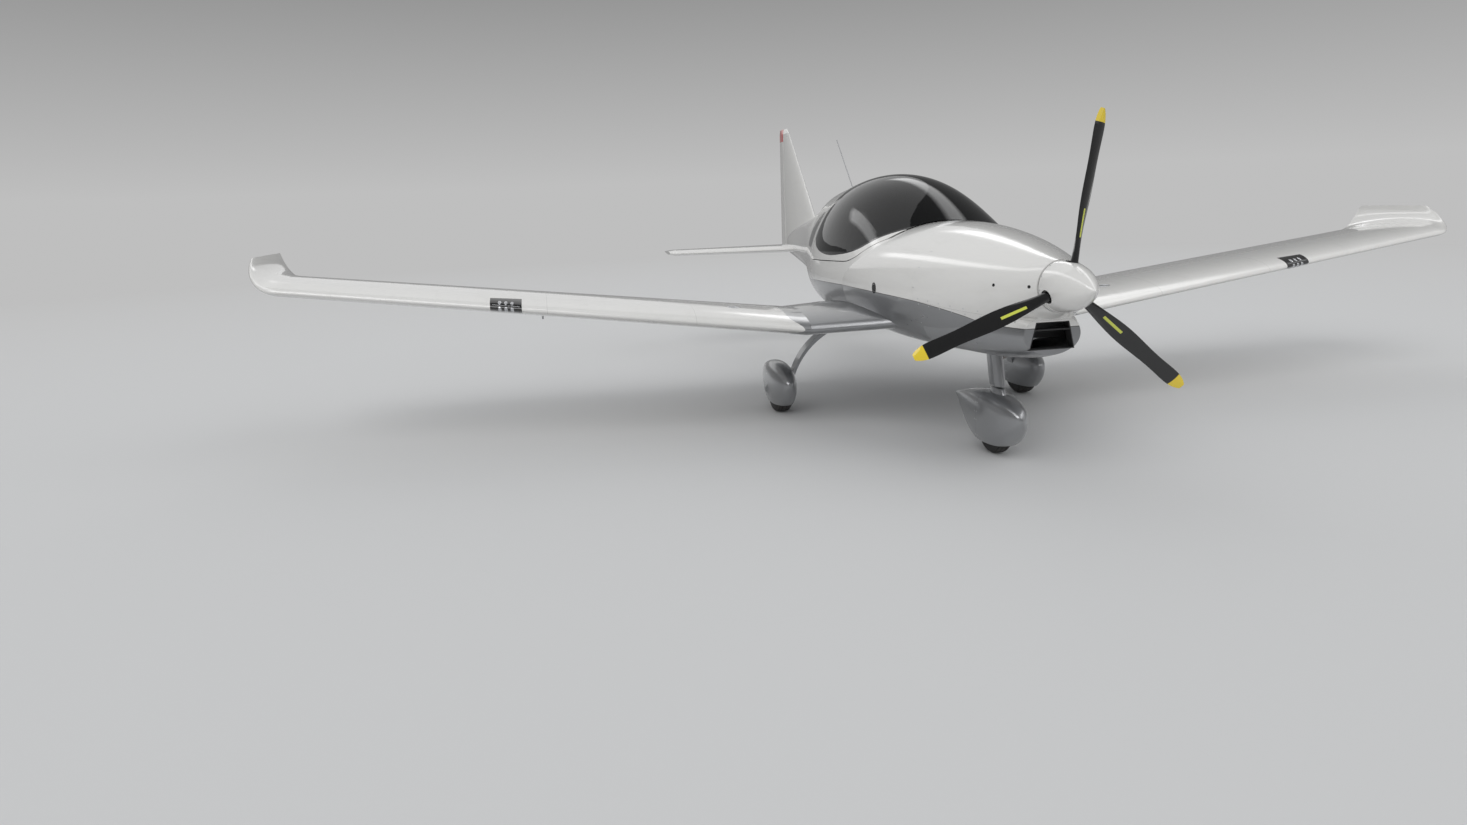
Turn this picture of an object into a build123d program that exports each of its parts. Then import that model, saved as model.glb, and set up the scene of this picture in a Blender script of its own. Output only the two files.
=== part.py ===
from build123d import *
import os
from collections import namedtuple
from math import atan2, cos, radians, sin, sqrt, tan

# Two-seat low-wing light aircraft, parked on its fixed nose-wheel gear. Millimetres.
# X points to the pilot's left, Y to the tail and Z up. The origin is on the ground,
# half way along the aircraft. A station is a distance aft of the spinner's tip.
overall_length = 6450
wing_span = 9130
cabin_skin = 12
cowl_skin = 8
cowl_seam = 0.8          # between the cowl's halves, and behind them
glass_thickness = 5
frame_gap = 6            # between the canopy and the body round it
run_gap = 0.05           # radial play of a shaft in its bearing
seat_gap = 0.3           # between soft or turning faces that rest on each other

# Propeller and engine
thrust_height = 1081
propeller_radius = 896
propeller_station = 253
propeller_angle = 9.65   # of the first blade at rest, from straight up to the left
blade_count = 3
spinner_hole = 38        # round each blade's root
spinner_length = 310
spinner_radius = 137
spinner_wall = 4
spinner_gap = 10         # between the spinner and the cowling behind it
shaft_radius = 25
blade_rows = (           # distance out, chord, thickness, pitch
    (56, 54, 54, 60),
    (150, 62, 38, 52),
    (290, 86, 23, 41),
    (500, 93, 14, 30),
    (720, 81, 9.5, 24),
    (870, 59, 6.5, 21),
    (propeller_radius, 32, 4, 20),
)
hub_radius = 60
hub_half_length = 40
gearbox_front = 420
gearbox_half_width = 95
gearbox_bottom = 970
gearbox_top = 1165
bearing_length = 60
engine_rear = 1060
engine_blocks = (        # half width, front, bottom, top
    (205, 580, 860, 1150),
    (285, 700, 870, 1150),
    (195, 620, 765, 880),
)
mount_spread = 180
mount_heights = (800, 1110)
mount_tube_radius = 11
exhaust_radius = 22
exhaust_hole_gap = 9     # round the pipe where it leaves the cowl
exhaust_path = ((130, 930, 764), (130, 1040, 628), (130, 1235, 556))
outlet_half_width = 70   # cooling outlet in the cowl's lower rear edge
outlet_length = 58

# Fuselage stations
firewall_station = 1150
firewall_thickness = 8
panel_station = 1850     # rear edge of the deck over the instrument panel
side_front = 1430        # where the cabin's sides run out into the nose
cabin_rear = 3900        # joint of the cabin and the tail cone
tail_end = 6080
cowl_split = ((200, 878), (1200, 962))
floor_height = 655

# Cross-sections: station, half width, top, height of the widest line, bottom
nose_rows = (
    (spinner_length + spinner_gap, 141, 1222, 1081, 940),
    (450, 232, 1246, 1062, 862),
    (650, 335, 1288, 1030, 752),
    (850, 415, 1326, 1010, 670),
    (1150, 503, 1370, 1000, 610),
    (1550, 582, 1398, 1000, 590),
    (1900, 622, 1385, 1000, 585),
    (2200, 628, 1330, 1000, 588),
)
cabin_rows = (
    (1420, 480, 1230, 1000, 620),
    (1750, 580, 1400, 1000, 592),
    (2100, 625, 1590, 1000, 583),
    (2560, 650, 1718, 1000, 585),
    (3050, 605, 1704, 1000, 620),
    (3500, 508, 1653, 1015, 675),
    (cabin_rear, 405, 1580, 1036, 730),
)
tail_rows = (
    cabin_rows[-1],
    (4600, 262, 1436, 1062, 826),
    (5400, 138, 1308, 1082, 912),
    (tail_end, 36, 1206, 1092, 985),
)
chin_rows = (
    (395, 165, 925, 815, 705),
    (540, 235, 975, 815, 668),
    (800, 330, 990, 815, 634),
    (1130, 430, 1000, 815, 618),
)

inlet_wall = 12
inlet_low, inlet_high = 735, 885
inlet_low_half, inlet_high_half = 132, 96
inlet_depth = 55
inlet_frame = 5
inlet_bar = 842

# Aerofoil sections: distance from the middle, station and height of the leading edge,
# chord, thickness share, incidence and roll of the section's plane in degrees
Section = namedtuple("Section", "x station z chord thickness incidence roll")
trailing_edge = 4
crest_share = 0.37
wing_root = Section(150, 1283, 807, 1997, 0.106, 3.1, 0)
wing_joint = Section(941, 1805, 712, 1467, 0.124, 2.0, 0)
wing_end = Section(4330, 2160, 1115, 1040, 0.124, 1.0, 0)
wing_glove = (wing_root, wing_joint)
wing_panel = (wing_joint, wing_end)
wing_tip = (
    wing_end,
    Section(wing_span / 2 - 125, 2215, 1145, 985, 0.115, 0.5, 28),
    Section(wing_span / 2 - 52, 2330, 1215, 870, 0.095, 0.0, 62),
    Section(wing_span / 2 - 22, 2520, 1325, 640, 0.065, 0.0, 82),
)
stabilizer_rows = (
    Section(20, 5395, 1050, 805, 0.100, 0, 0),
    Section(1330, 5610, 1050, 590, 0.100, 0, 0),
    Section(1400, 5700, 1050, 480, 0.070, 0, 0),
)
fin_rows = (
    Section(0, 4640, 1020, 1810, 0.076, 0, 90),
    Section(0, 6015, 2270, 415, 0.085, 0, 90),
    Section(0, 6110, 2318, 290, 0.060, 0, 90),
)

# Flaps and ailerons: span from and to, share of the chord at the hinge, gap round the nose
SurfaceSpan = namedtuple("SurfaceSpan", "start stop hinge gap")
flap_span = SurfaceSpan(975, 2540, 0.77, 12)
aileron_span = SurfaceSpan(2566, 4290, 0.77, 9)
elevator_start = 105
elevator_stop = 1320
elevator_hinge = 5935
elevator_gap = 9
rudder_foot = (6122, 1010)
rudder_head = (6238, 2330)
rudder_gap = 9
beacon_height = 2190     # the rudder's red lens starts here
surface_end_gap = 7
lamp_span = (2820, 3020)
lamp_depth = 105
lug_x = 2700
lug_thickness = 12
lug_bore = 9
lug_radius = 20
lug_drop = 16            # of its bore below the wing
nose_share = 0.97        # nose radius of a moving surface over its half thickness
bracket_places = (0.07, 0.5, 0.93)
bracket_thickness = 10
bracket_radius = 8
bracket_play = 6
hinge_pin_radius = 4
torque_tube_radius = 12
torque_tube_gap = 6

# Canopy: hinged ahead, under the deck
canopy_drop = 62         # its frame below the glass
canopy_back = 48         # and behind it
glass_ledge = 38         # overlap of the glass on the frame's inner flange
canopy_pivot = (1430, 1180)
hinge_spacing = 300
hinge_arm_thickness = 10
hinge_arm_width = 20
hinge_arm_reach = 385
hinge_arm_top = 28.5
hinge_arm_bottom = -31
deck_heights = (1312, 1358)  # lower and upper face of the deck round the arms
hinge_pin = 6
hinge_boss = 15

# Wheels: axle station, distance from the middle, tyre radius and width, rim radius
WheelSize = namedtuple("WheelSize", "station x radius width rim")
main_wheel = WheelSize(2580, 985, 178, 130, 92)
nose_wheel = WheelSize(1024, 0, 160, 108, 78)
axle_radius = 14
pant_skin = 5
pant_gap = 15            # round the tyre where it leaves the fairing
pant_bottom = 50
main_pant_rows = (
    (2262, 12, 240, 226, 212),
    (2300, 54, 292, 226, 150),
    (2380, 90, 346, 228, 50),
    (2540, 120, 408, 234, -40),
    (2740, 110, 414, 242, -30),
    (2950, 64, 352, 262, 120),
    (3100, 10, 284, 272, 260),
)
nose_pant_rows = (
    (708, 11, 288, 276, 264),
    (742, 45, 322, 270, 205),
    (810, 80, 352, 260, 100),
    (990, 113, 378, 242, -25),
    (1200, 101, 368, 242, -5),
    (1420, 54, 322, 262, 150),
    (1580, 10, 286, 274, 262),
)
steering_rake = 15
steering_point = (1060, 600)
stem_radius = 18
leg_tube_radius = 30
leg_fairing = (170, 64)
leg_top = 740
leg_bottom = 425
fork_gap = 12
fork_plate = 10
fork_eye = 24
main_leg_root = (330, 655)
main_leg_bend = (716, 530)
main_leg_foot = (905, 215)
main_leg_thickness = 26
main_leg_root_chord = 130
main_leg_foot_chord = 76
leg_fairing_top = 700
leg_cowl_gap = 3
fork_crown_gap = 12
fork_crown = 26
tow_bore_radius = 7
axle_plate = (905, 915)

antenna_station = 3790
antenna_lean = 47
antenna_length = 640

# Cabin
seat_half_gap = 50       # from the middle to a seat
seat_width = 470
seat_front = 2110
seat_base = 790
cushion_thickness = 95
back_thickness = 80
seat_back_foot = (2650, 800)
seat_lean = 20
seat_back_length = 500
headrest_size = (230, 70, 150)
shelf_height = 1080
stick_foot = (2010, 262)
stick_length = 400
console_half_width = 42
pedal_station = 1400
pedal_places = (145, 230)
pedal_size = (62, 6, 100)


def aft(station):
    """Y of a station."""
    return station - overall_length / 2


def point(x, station, z):
    return Vector(x, aft(station), z)


def block(x, station, z):
    """Box between two distances from the middle, two stations and two heights."""
    middle = point(sum(x) / 2, sum(station) / 2, sum(z) / 2)
    return Pos(*middle) * Box(x[1] - x[0], station[1] - station[0], z[1] - z[0])


def rod(start, end, radius):
    """Round bar between two points."""
    start, end = Vector(*start), Vector(*end)
    return Solid.make_cylinder(radius, (end - start).length, Plane(origin=start, z_dir=end - start))


def side_view(*edges):
    """Face drawn in station and height, at the middle of the aircraft."""
    return Pos(0, aft(0), 0) * (Plane.YZ * make_face(edges))


def through(face, half_width):
    """Side-view face carried right across the aircraft."""
    return extrude(face, half_width, both=True)


def oval(row, inset=0):
    """Cross-section of six arcs: a crown, a keel and two arcs to each side."""
    station, half_width, top, waist, bottom = row
    w = half_width - inset
    y = aft(station)

    def arcs(height, sign):
        joint = atan2(w, height)
        s, c = sin(joint), cos(joint)
        side = (height * c - (1 - s) * w) / (s + c - 1)
        crown = (w * s - (1 - c) * height) / (s + c - 1)
        meet = (crown * c, height - crown + crown * s)
        half = (w - side + side * cos(joint / 2), side * sin(joint / 2))
        places = [(w, 0), half, meet, (0, height), (-meet[0], meet[1]), (-half[0], half[1]), (-w, 0)]
        points = [(x, y, waist + sign * z) for x, z in places]
        return [ThreePointArc(*points[first:first + 3]) for first in (0, 2, 4)]

    upper = arcs(top - waist - inset, 1)
    lower = arcs(waist - bottom - inset, -1)
    return Wire([*upper, *reversed(lower)])


def hull(rows, inset=0):
    return Solid.make_loft([oval(row, inset) for row in rows])


# Aerofoils and the surfaces lofted from them

def section_plane(section):
    """Plane of an aerofoil section: x along the chord, y towards its upper side."""
    roll, tilt = radians(section.roll), radians(section.incidence)
    up = Vector(-sin(roll), 0, cos(roll))
    chordwise = Vector(0, cos(tilt), 0) - up * sin(tilt)
    return Plane(origin=point(section.x, section.station, section.z), x_dir=chordwise,
                 z_dir=chordwise.cross(up))


def crests(section):
    """Heights of the upper and lower crests; a flying wing is fuller above."""
    share = 0.5 if section.incidence == 0 else 0.64
    full = section.thickness * section.chord
    return full * share, full * (1 - share)


def rear_arc(section, crest):
    """Radius and angle of the arc from a crest back to the trailing edge."""
    run = section.chord * (1 - crest_share)
    drop = crest - trailing_edge / 2
    radius = (run ** 2 + drop ** 2) / (2 * drop)
    return radius, atan2(run, radius - drop)


def aerofoil(section):
    """Quarter ellipses ahead of the crests, arcs behind them and a blunt trailing edge."""
    front = section.chord * crest_share
    upper, lower = crests(section)
    edge = trailing_edge / 2

    def rear(crest, sign):
        radius, angle = rear_arc(section, crest)
        middle = (front + radius * sin(angle / 2), sign * (crest - radius + radius * cos(angle / 2)))
        return ThreePointArc((front, sign * crest), middle, (section.chord, sign * edge))

    outline = make_face([
        EllipticalCenterArc((front, 0), front, upper, 90, arc_size=90),
        EllipticalCenterArc((front, 0), front, lower, 180, arc_size=90),
        rear(lower, -1),
        Line((section.chord, -edge), (section.chord, edge)),
        rear(upper, 1),
    ])
    return section_plane(section) * outline


def surface(sections, straight=True):
    return loft([aerofoil(section) for section in sections], ruled=straight)


def blend(first, last, share):
    return Section(*(a + (b - a) * share for a, b in zip(first, last)))


def middle_at(section, distance):
    """Point on the mean surface behind the crest, and the half thickness there."""
    heights = []
    for crest in crests(section):
        radius, _ = rear_arc(section, crest)
        run = distance - section.chord * crest_share
        heights.append(crest - radius + sqrt(radius ** 2 - run ** 2))
    upper, lower = heights
    place = section_plane(section).from_local_coords((distance, (upper - lower) / 2, 0))
    return place, (upper + lower) / 2


def frustum(plane, start_radius, end_radius, length):
    if abs(start_radius - end_radius) < 1e-6:
        return Solid.make_cylinder(start_radius, length, plane)
    return Solid.make_cone(start_radius, end_radius, length, plane)


def cut_surface(panel, start, stop, gap, chord_reach=600, depth=220):
    """Cut a hinged surface with a round nose out of a panel.

    start and stop are the point and the half thickness at each end of the hinge.
    Returns what stays, what moves, and the hinge line's ends.
    """
    (first, first_half), (last, last_half) = start, stop
    along = (last - first).normalized()
    rearward = (Vector(0, 1, 0) - along * along.Y).normalized()
    length = (last - first).length
    radii = first_half * nose_share, last_half * nose_share
    frame = Plane(origin=first, x_dir=rearward, z_dir=along)
    align = (Align.MIN, Align.CENTER, Align.MIN)
    rear = frame * Box(chord_reach, depth, length, align=align)
    moving = panel & (rear + frustum(frame, *radii, length))
    slope = (radii[1] - radii[0]) / length * surface_end_gap
    wide = Plane(origin=first - along * surface_end_gap, x_dir=rearward, z_dir=along)
    wide_length = length + 2 * surface_end_gap
    clear = wide * Box(chord_reach, depth, wide_length, align=align)
    cove = frustum(wide, radii[0] - slope + gap, radii[1] + slope + gap, wide_length)
    fixed = panel - (clear + cove)
    for share in bracket_places:
        radius = radii[0] + (radii[1] - radii[0]) * share
        centre = first + along * (length * share)
        moving, fixed = add_bracket(moving, fixed, Plane(centre, rearward, along), radius, gap)
    return fixed, moving


def add_bracket(moving, fixed, frame, radius, gap):
    """Hinge bracket on the fixed part, in a slot of the moving one, on a pin."""
    reach = radius + gap + 4
    slot = bracket_thickness + 2 * bracket_play
    bracket_width = min(2 * bracket_radius, 1.6 * radius)
    forward = (Align.MAX, Align.CENTER, Align.CENTER)
    eye = min(bracket_radius, radius * 0.8)
    pin = min(hinge_pin_radius, eye / 2)
    plate = frame * Box(reach, bracket_width, bracket_thickness, align=forward)
    plate += frame * Cylinder(eye, bracket_thickness)
    plate -= frame * Cylinder(pin + run_gap, bracket_thickness)
    room = frame * Box(reach, 4 * reach, slot, align=forward)
    room += frame * Cylinder(min(eye + bracket_play, radius * 0.97), slot)
    return moving - room + frame * Cylinder(pin, slot + 8), fixed + plate


# Outer and inner solids that several pieces are cut from
nose_outer = hull(nose_rows)
nose_inner = hull(nose_rows, cabin_skin)
cabin_outer = hull(cabin_rows)
cabin_inner = hull(cabin_rows, cabin_skin)
tail_outer = hull(tail_rows)


def between(first, last, width=900, low=300, high=2100):
    """Slice of the whole aircraft between two stations."""
    return block((-width, width), (first, last), (low, high))


body_outer = nose_outer + cabin_outer
cabin_space = (nose_inner + cabin_inner) & between(firewall_station, cabin_rear)


def canopy_outline(drop, back):
    """Side view of the canopy, lowered and moved back from the edge of its glass."""
    front, foot, sill = (1560, 1500 - drop), (1900, 1281 - drop), (2150, 1199 - drop)
    corner, rear = (2860 + back, 1172 - drop), (3000 + back, 1266 - drop / 2)
    head = 1900
    return side_view(
        Line(front, foot),
        ThreePointArc(foot, (2006, 1226 - drop), sill),
        Line(sill, corner),
        ThreePointArc(corner, (2962 + back, 1197 - drop), rear),
        Polyline(rear, (3050 + back, head), (front[0], head), front),
    )


def canopy_space(drop, back):
    return through(canopy_outline(drop, back), 800)


# Cowling, engine and propeller

def make_cowling():
    chin_room = hull(chin_rows, cowl_skin) & between(chin_rows[0][0] + inlet_wall, firewall_station)
    outer = (nose_outer + hull(chin_rows)) & between(0, firewall_station - cowl_seam)
    shell = outer - (hull(nose_rows, cowl_skin) + chin_room)
    shell -= inlet_tube(0)
    shell -= leg_shape(leg_cowl_gap)
    shell -= exhaust_pipe(exhaust_hole_gap)
    outlet = (firewall_station - outlet_length, firewall_station)
    shell -= block((-outlet_half_width, outlet_half_width), outlet, (500, 700))
    return shell & above_split(cowl_seam / 2), shell - above_split(-cowl_seam / 2)


def above_split(rise):
    """All that lies above the line between the cowl's halves."""
    (front, low), (rear, high) = cowl_split
    line = Polyline((front, low + rise), (rear, high + rise), (rear, 1700), (front, 1700), close=True)
    return through(side_view(line), 700)


def exhaust_pipe(grow=0):
    """Bent pipe from under the engine out through the lower cowl."""
    radius = exhaust_radius + grow
    start, bend, end = (point(*place) for place in exhaust_path)
    return rod(start, bend, radius) + Pos(*bend) * Sphere(radius) + rod(bend, end, radius)


def inlet_tube(inset):
    """Trapezoid prism of the chin inlet, narrowed by a wall."""
    low, high = inlet_low + inset, inlet_high - inset
    wide, narrow = inlet_low_half - inset, inlet_high_half - inset
    corners = [(-wide, low), (wide, low), (narrow, high), (-narrow, high)]
    face = Plane.XZ * make_face(Polyline(*corners, close=True))
    return Pos(0, aft(chin_rows[0][0] + inlet_depth), 0) * extrude(face, inlet_depth)


def make_inlet_grille():
    front = chin_rows[0][0]
    frame = inlet_tube(0) - inlet_tube(inlet_frame)
    bar = block((-200, 200), (front, front + inlet_depth), (inlet_bar - 4, inlet_bar + 4)) & inlet_tube(0)
    return frame + bar


def make_engine():
    front = min(row[1] for row in engine_blocks)
    engine = block((-gearbox_half_width, gearbox_half_width), (gearbox_front, front),
                   (gearbox_bottom, gearbox_top))
    for half_width, front, bottom, top in engine_blocks:
        engine += block((-half_width, half_width), (front, engine_rear), (bottom, top))
    bore = rod(point(0, 0, thrust_height), point(0, gearbox_front + bearing_length, thrust_height),
               shaft_radius + run_gap)
    return engine - bore


def make_engine_mount():
    return [rod(point(x, engine_rear, z), point(x, firewall_station, z), mount_tube_radius)
            for x in (-mount_spread, mount_spread) for z in mount_heights]


def make_firewall():
    slab = between(firewall_station, firewall_station + firewall_thickness)
    return nose_inner & slab


def spinner_solid(inset):
    """Ogive turned about the thrust line, with its tip at station 0."""
    tip, rim = (inset * 1.6, 0), (spinner_length - inset, spinner_radius - inset)
    bulge = (spinner_length * 0.48, spinner_radius * 0.755 - inset)
    half = make_face([ThreePointArc(tip, bulge, rim), Line(rim, (rim[0], 0)), Line((rim[0], 0), tip)])
    turned = revolve(half, Axis.X)
    return Pos(0, aft(0), thrust_height) * Rot(0, 0, 90) * turned


def make_spinner():
    shell = spinner_solid(0) - spinner_solid(spinner_wall)
    for angle in blade_angles():
        shell -= on_propeller(angle) * Cylinder(spinner_hole, 200, align=(
            Align.CENTER, Align.CENTER, Align.MIN))
    return shell - rod(point(0, 200, thrust_height), point(0, 400, thrust_height), shaft_radius)


def blade_angles():
    return [propeller_angle + 360 / blade_count * index for index in range(blade_count)]


def on_propeller(angle):
    """Place of a blade: its Z runs out along the blade."""
    return Pos(0, aft(propeller_station), thrust_height) * Rot(0, angle, 0)


def blade_section(radius, chord, thickness, pitch):
    """Two arcs from edge to edge, fuller in front."""
    front = thickness * 0.62 if radius > blade_rows[0][0] else thickness / 2
    half, rear = chord / 2, thickness - front
    outline = make_face([
        ThreePointArc((-half, 0), (0, front), (half, 0)),
        ThreePointArc((half, 0), (0, -rear), (-half, 0)),
    ])
    twist = radians(pitch)
    plane = Plane(origin=(0, 0, radius), x_dir=(-cos(twist), -sin(twist), 0), z_dir=(0, 0, 1))
    return plane * outline


def make_blades(hub):
    blade = loft([blade_section(*row) for row in blade_rows])
    return [on_propeller(angle) * blade - hub for angle in blade_angles()]


def make_hub():
    front, rear = propeller_station - hub_half_length, spinner_length - spinner_wall
    hub = rod(point(0, front, thrust_height), point(0, rear, thrust_height), hub_radius)
    shaft = rod(point(0, rear, thrust_height),
                point(0, gearbox_front + bearing_length - 2, thrust_height), shaft_radius)
    return hub + shaft


# Fuselage

def make_body():
    deck = (nose_outer & between(firewall_station, panel_station)) - nose_inner
    behind = between(side_front, cabin_rear)
    side = (cabin_outer & behind) + (nose_outer & between(panel_station, nose_rows[-1][0]))
    side -= canopy_space(canopy_drop + frame_gap, canopy_back + frame_gap)
    shell = deck + (side - (nose_inner + (cabin_inner & behind)))
    for x in (-hinge_spacing, hinge_spacing):
        half = hinge_arm_thickness / 2 + frame_gap
        shell -= block((x - half, x + half), hinge_slot(), (deck_heights[0] - 60, deck_heights[1] + 60))
    window = through(rear_window_outline(0), 800)
    glass = (cabin_outer & window) - hull(cabin_rows, glass_thickness)
    return shell - window, glass


def rear_window_outline(grow):
    front, rear = 3150 - grow, 3560 + grow
    low, high = 1185 - grow, 1480 + grow
    return side_view(
        Line((front, low + 40), (front + 12, high - 20)),
        ThreePointArc((front + 12, high - 20), (3330, high - 40), (rear, low + 105)),
        ThreePointArc((rear, low + 105), (rear - 15, low + 25), (rear - 110, low)),
        Line((rear - 110, low), (front + 40, low)),
        ThreePointArc((front + 40, low), (front + 12, low + 12), (front, low + 40)),
    )


def make_tail():
    shell = tail_outer - (hull(tail_rows, cabin_skin) & between(cabin_rear, tail_end - 40))
    return shell - torque_tube(200, torque_tube_radius + torque_tube_gap)


def make_canopy():
    outer = cabin_outer & canopy_space(canopy_drop, canopy_back)
    clear_nose = hull([(s, w + frame_gap, t + frame_gap, m, b) for s, w, t, m, b in nose_rows])
    outer = outer - clear_nose
    glass = (outer & canopy_space(0, 0)) - hull(cabin_rows, glass_thickness)
    frame = outer - hull(cabin_rows, glass_thickness + cabin_skin)
    frame -= canopy_space(-glass_ledge, -glass_ledge)
    for side in (-1, 1):
        frame += make_hinge_arm(side * hinge_spacing)
    return frame - glass, glass


def hinge_slot():
    """Stations between which the canopy's arms pass the deck."""
    station, height = canopy_pivot
    (low, high), half = deck_heights, hinge_arm_width / 2
    front = station + sqrt((hinge_arm_reach - half) ** 2 - (high - height) ** 2)
    rear = station + sqrt((hinge_arm_reach + half) ** 2 - (low - height) ** 2)
    return front - frame_gap, rear + frame_gap


def across_pivot(x, half_length, radius):
    station, height = canopy_pivot
    return rod(point(x - half_length, station, height), point(x + half_length, station, height), radius)


def make_hinge_arm(x):
    """Curved arm that leaves its pivot under the deck and slides out through a slot."""
    station, height = canopy_pivot
    half, half_width = hinge_arm_thickness / 2, hinge_arm_width / 2
    inner, outer = hinge_arm_reach - half_width, hinge_arm_reach + half_width
    low, high = radians(hinge_arm_bottom), radians(hinge_arm_top)
    middle = (low + high) / 2

    def at(radius, angle):
        return station + radius * cos(angle), height + radius * sin(angle)

    band = side_view(
        ThreePointArc(at(outer, low), at(outer, middle), at(outer, high)),
        Line(at(outer, high), at(inner, high)),
        ThreePointArc(at(inner, high), at(inner, middle), at(inner, low)),
        Line(at(inner, low), at(outer, low)),
    )
    spoke = Pos(*point(0, station, height)) * Rot(hinge_arm_bottom, 0, 0) * Box(
        hinge_arm_thickness, outer, hinge_arm_width, align=(Align.CENTER, Align.MIN, Align.CENTER))
    arm = Pos(x, 0, 0) * (through(band, half) + spoke) + across_pivot(x, half, hinge_boss)
    return (arm & body_outer) - across_pivot(x, 2 * half, hinge_pin + run_gap)


def make_hinge_bracket(side):
    """Plate under the deck with the pin that an arm turns on."""
    station, height = canopy_pivot
    half = hinge_arm_thickness / 2
    x = side * hinge_spacing
    near, far = x - side * (half + 1), x - side * (half + 11)
    plate = block((min(near, far), max(near, far)), (station - 18, station + 18), (height - 16, 1400))
    pin = rod(point(far, station, height), point(x + side * (half + 1), station, height), hinge_pin)
    return (plate & nose_inner) + pin


# Wings and tail

def section_at(rows, value, key="x"):
    """Section at a distance along straight-lined rows."""
    for first, last in zip(rows, rows[1:]):
        start, stop = getattr(first, key), getattr(last, key)
        if value <= stop or last is rows[-1]:
            return blend(first, last, (value - start) / (stop - start))


def make_wing():
    """Left wing with its flap, aileron, landing light and tip."""
    wing = surface(wing_glove) + surface(wing_panel) - body_outer
    lamp = block(lamp_span, (1900, 2300), (800, 1200))
    depth = section_at(wing_panel, sum(lamp_span) / 2).station + lamp_depth
    lamp = lamp & block((0, 5000), (1900, depth), (800, 1200))
    light = wing & lamp
    wing = wing - lamp
    moving = []
    for span in (flap_span, aileron_span):
        ends = [section_at(wing_panel, x) for x in (span.start, span.stop)]
        wing, part = cut_surface(wing, *[middle_at(end, end.chord * span.hinge) for end in ends], span.gap)
        moving.append(part)
    tip = surface(wing_tip, straight=False)
    return wing, tip, light, moving


def torque_tube(half_length, radius):
    """Bar on the hinge line that joins the elevator's halves."""
    height = stabilizer_rows[0].z
    start, end = point(-half_length, elevator_hinge, height), point(half_length, elevator_hinge, height)
    return rod(start, end, radius)


def make_stabilizer():
    """Left half of the stabilizer and of the elevator."""
    half = surface(stabilizer_rows) - tail_outer
    ends = [section_at(stabilizer_rows, x) for x in (elevator_start, elevator_stop)]
    points = [middle_at(end, elevator_hinge - end.station) for end in ends]
    fixed, moving = cut_surface(half, *points, elevator_gap)
    fixed -= block((0, elevator_start), (elevator_hinge - 30, 6400), (900, 1200))
    return fixed, moving


def make_fin():
    fin = surface(fin_rows)
    ends = []
    for station, height in (rudder_foot, rudder_head):
        section = section_at(fin_rows[:2], height, "z")
        ends.append(middle_at(section, station - section.station))
    fixed, moving = cut_surface(fin, *ends, rudder_gap)
    fixed = fixed - tail_outer
    lens = block((-200, 200), (5900, 6600), (beacon_height, 2500))
    return fixed, moving - lens, moving & lens


# Landing gear

def make_tyre(wheel):
    height = wheel.radius - wheel.rim
    face = Rectangle(wheel.width, height)
    face = fillet(face.vertices().sort_by(Axis.Y)[-2:], height * 0.48)
    face = fillet(face.vertices().sort_by(Axis.Y)[:2], height * 0.12)
    return revolve(Pos(0, (wheel.radius + wheel.rim) / 2) * face, Axis.X)


def make_rim(wheel):
    half = wheel.width * 0.36
    hub, barrel = axle_radius + 16, wheel.rim - 6
    outline = Polyline(
        (-half, wheel.rim), (half, wheel.rim), (half, barrel), (5, barrel), (5, hub), (half * 0.8, hub),
        (half * 0.8, axle_radius + run_gap), (-half * 0.8, axle_radius + run_gap), (-half * 0.8, hub),
        (-5, hub), (-5, barrel), (-half, barrel), close=True)
    rim = revolve(make_face(outline), Axis.X)
    middle = (hub + barrel) / 2
    for index in range(5):
        hole = Rot(index * 72, 0, 0) * Pos(0, middle, 0) * Rot(0, 90, 0)
        rim -= hole * Cylinder((barrel - hub) * 0.34, 30)
    return rim


def at_wheel(wheel, x):
    return Pos(*point(x, wheel.station, wheel.radius))


def make_pant(rows, wheel):
    """Wheel fairing at the middle of the aircraft: its shell, outer and inner solid."""
    outer = hull(rows) & between(rows[0][0], rows[-1][0], low=pant_bottom)
    ends = rows[0][0] + pant_skin, rows[-1][0] - pant_skin
    inner = hull(rows, pant_skin) & between(*ends, low=pant_bottom + pant_skin)
    half = wheel.width / 2 + pant_gap
    mouth = rod(point(-half, wheel.station, wheel.radius), point(half, wheel.station, wheel.radius),
                wheel.radius + pant_gap)
    mouth = mouth & between(*ends, low=0, high=2 * pant_bottom)
    return outer - inner - mouth, outer, inner


def make_main_leg():
    """Left leaf spring: a bowed strip, narrower towards the axle."""
    places = [Vector(*place) for place in (main_leg_root, main_leg_bend, main_leg_foot)]
    drop = (places[2] - places[0]).normalized()
    out = Vector(-drop.Y, drop.X) * (main_leg_thickness / 2)
    upper = [tuple(place + out)[:2] for place in places]
    lower = [tuple(place - out)[:2] for place in places]
    strip = make_face([ThreePointArc(*upper), Line(upper[2], lower[2]),
                       ThreePointArc(*reversed(lower)), Line(lower[0], upper[0])])
    leg = Pos(0, aft(main_wheel.station), 0) * extrude(Plane.XZ * strip, main_leg_root_chord, both=True)
    station, top, bottom = main_wheel.station, main_leg_root[1] + 60, main_leg_foot[1] - 60
    wide, slim = main_leg_root_chord / 2, main_leg_foot_chord / 2
    taper = Polyline((station - wide, top), (station + wide, top), (station + slim, bottom),
                     (station - slim, bottom), close=True)
    leg = leg & through(side_view(taper), 1200)
    beyond = block((axle_plate[0], 1300), (station - 400, station + 400), (0, 700))
    return leg - beyond - body_outer


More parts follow.
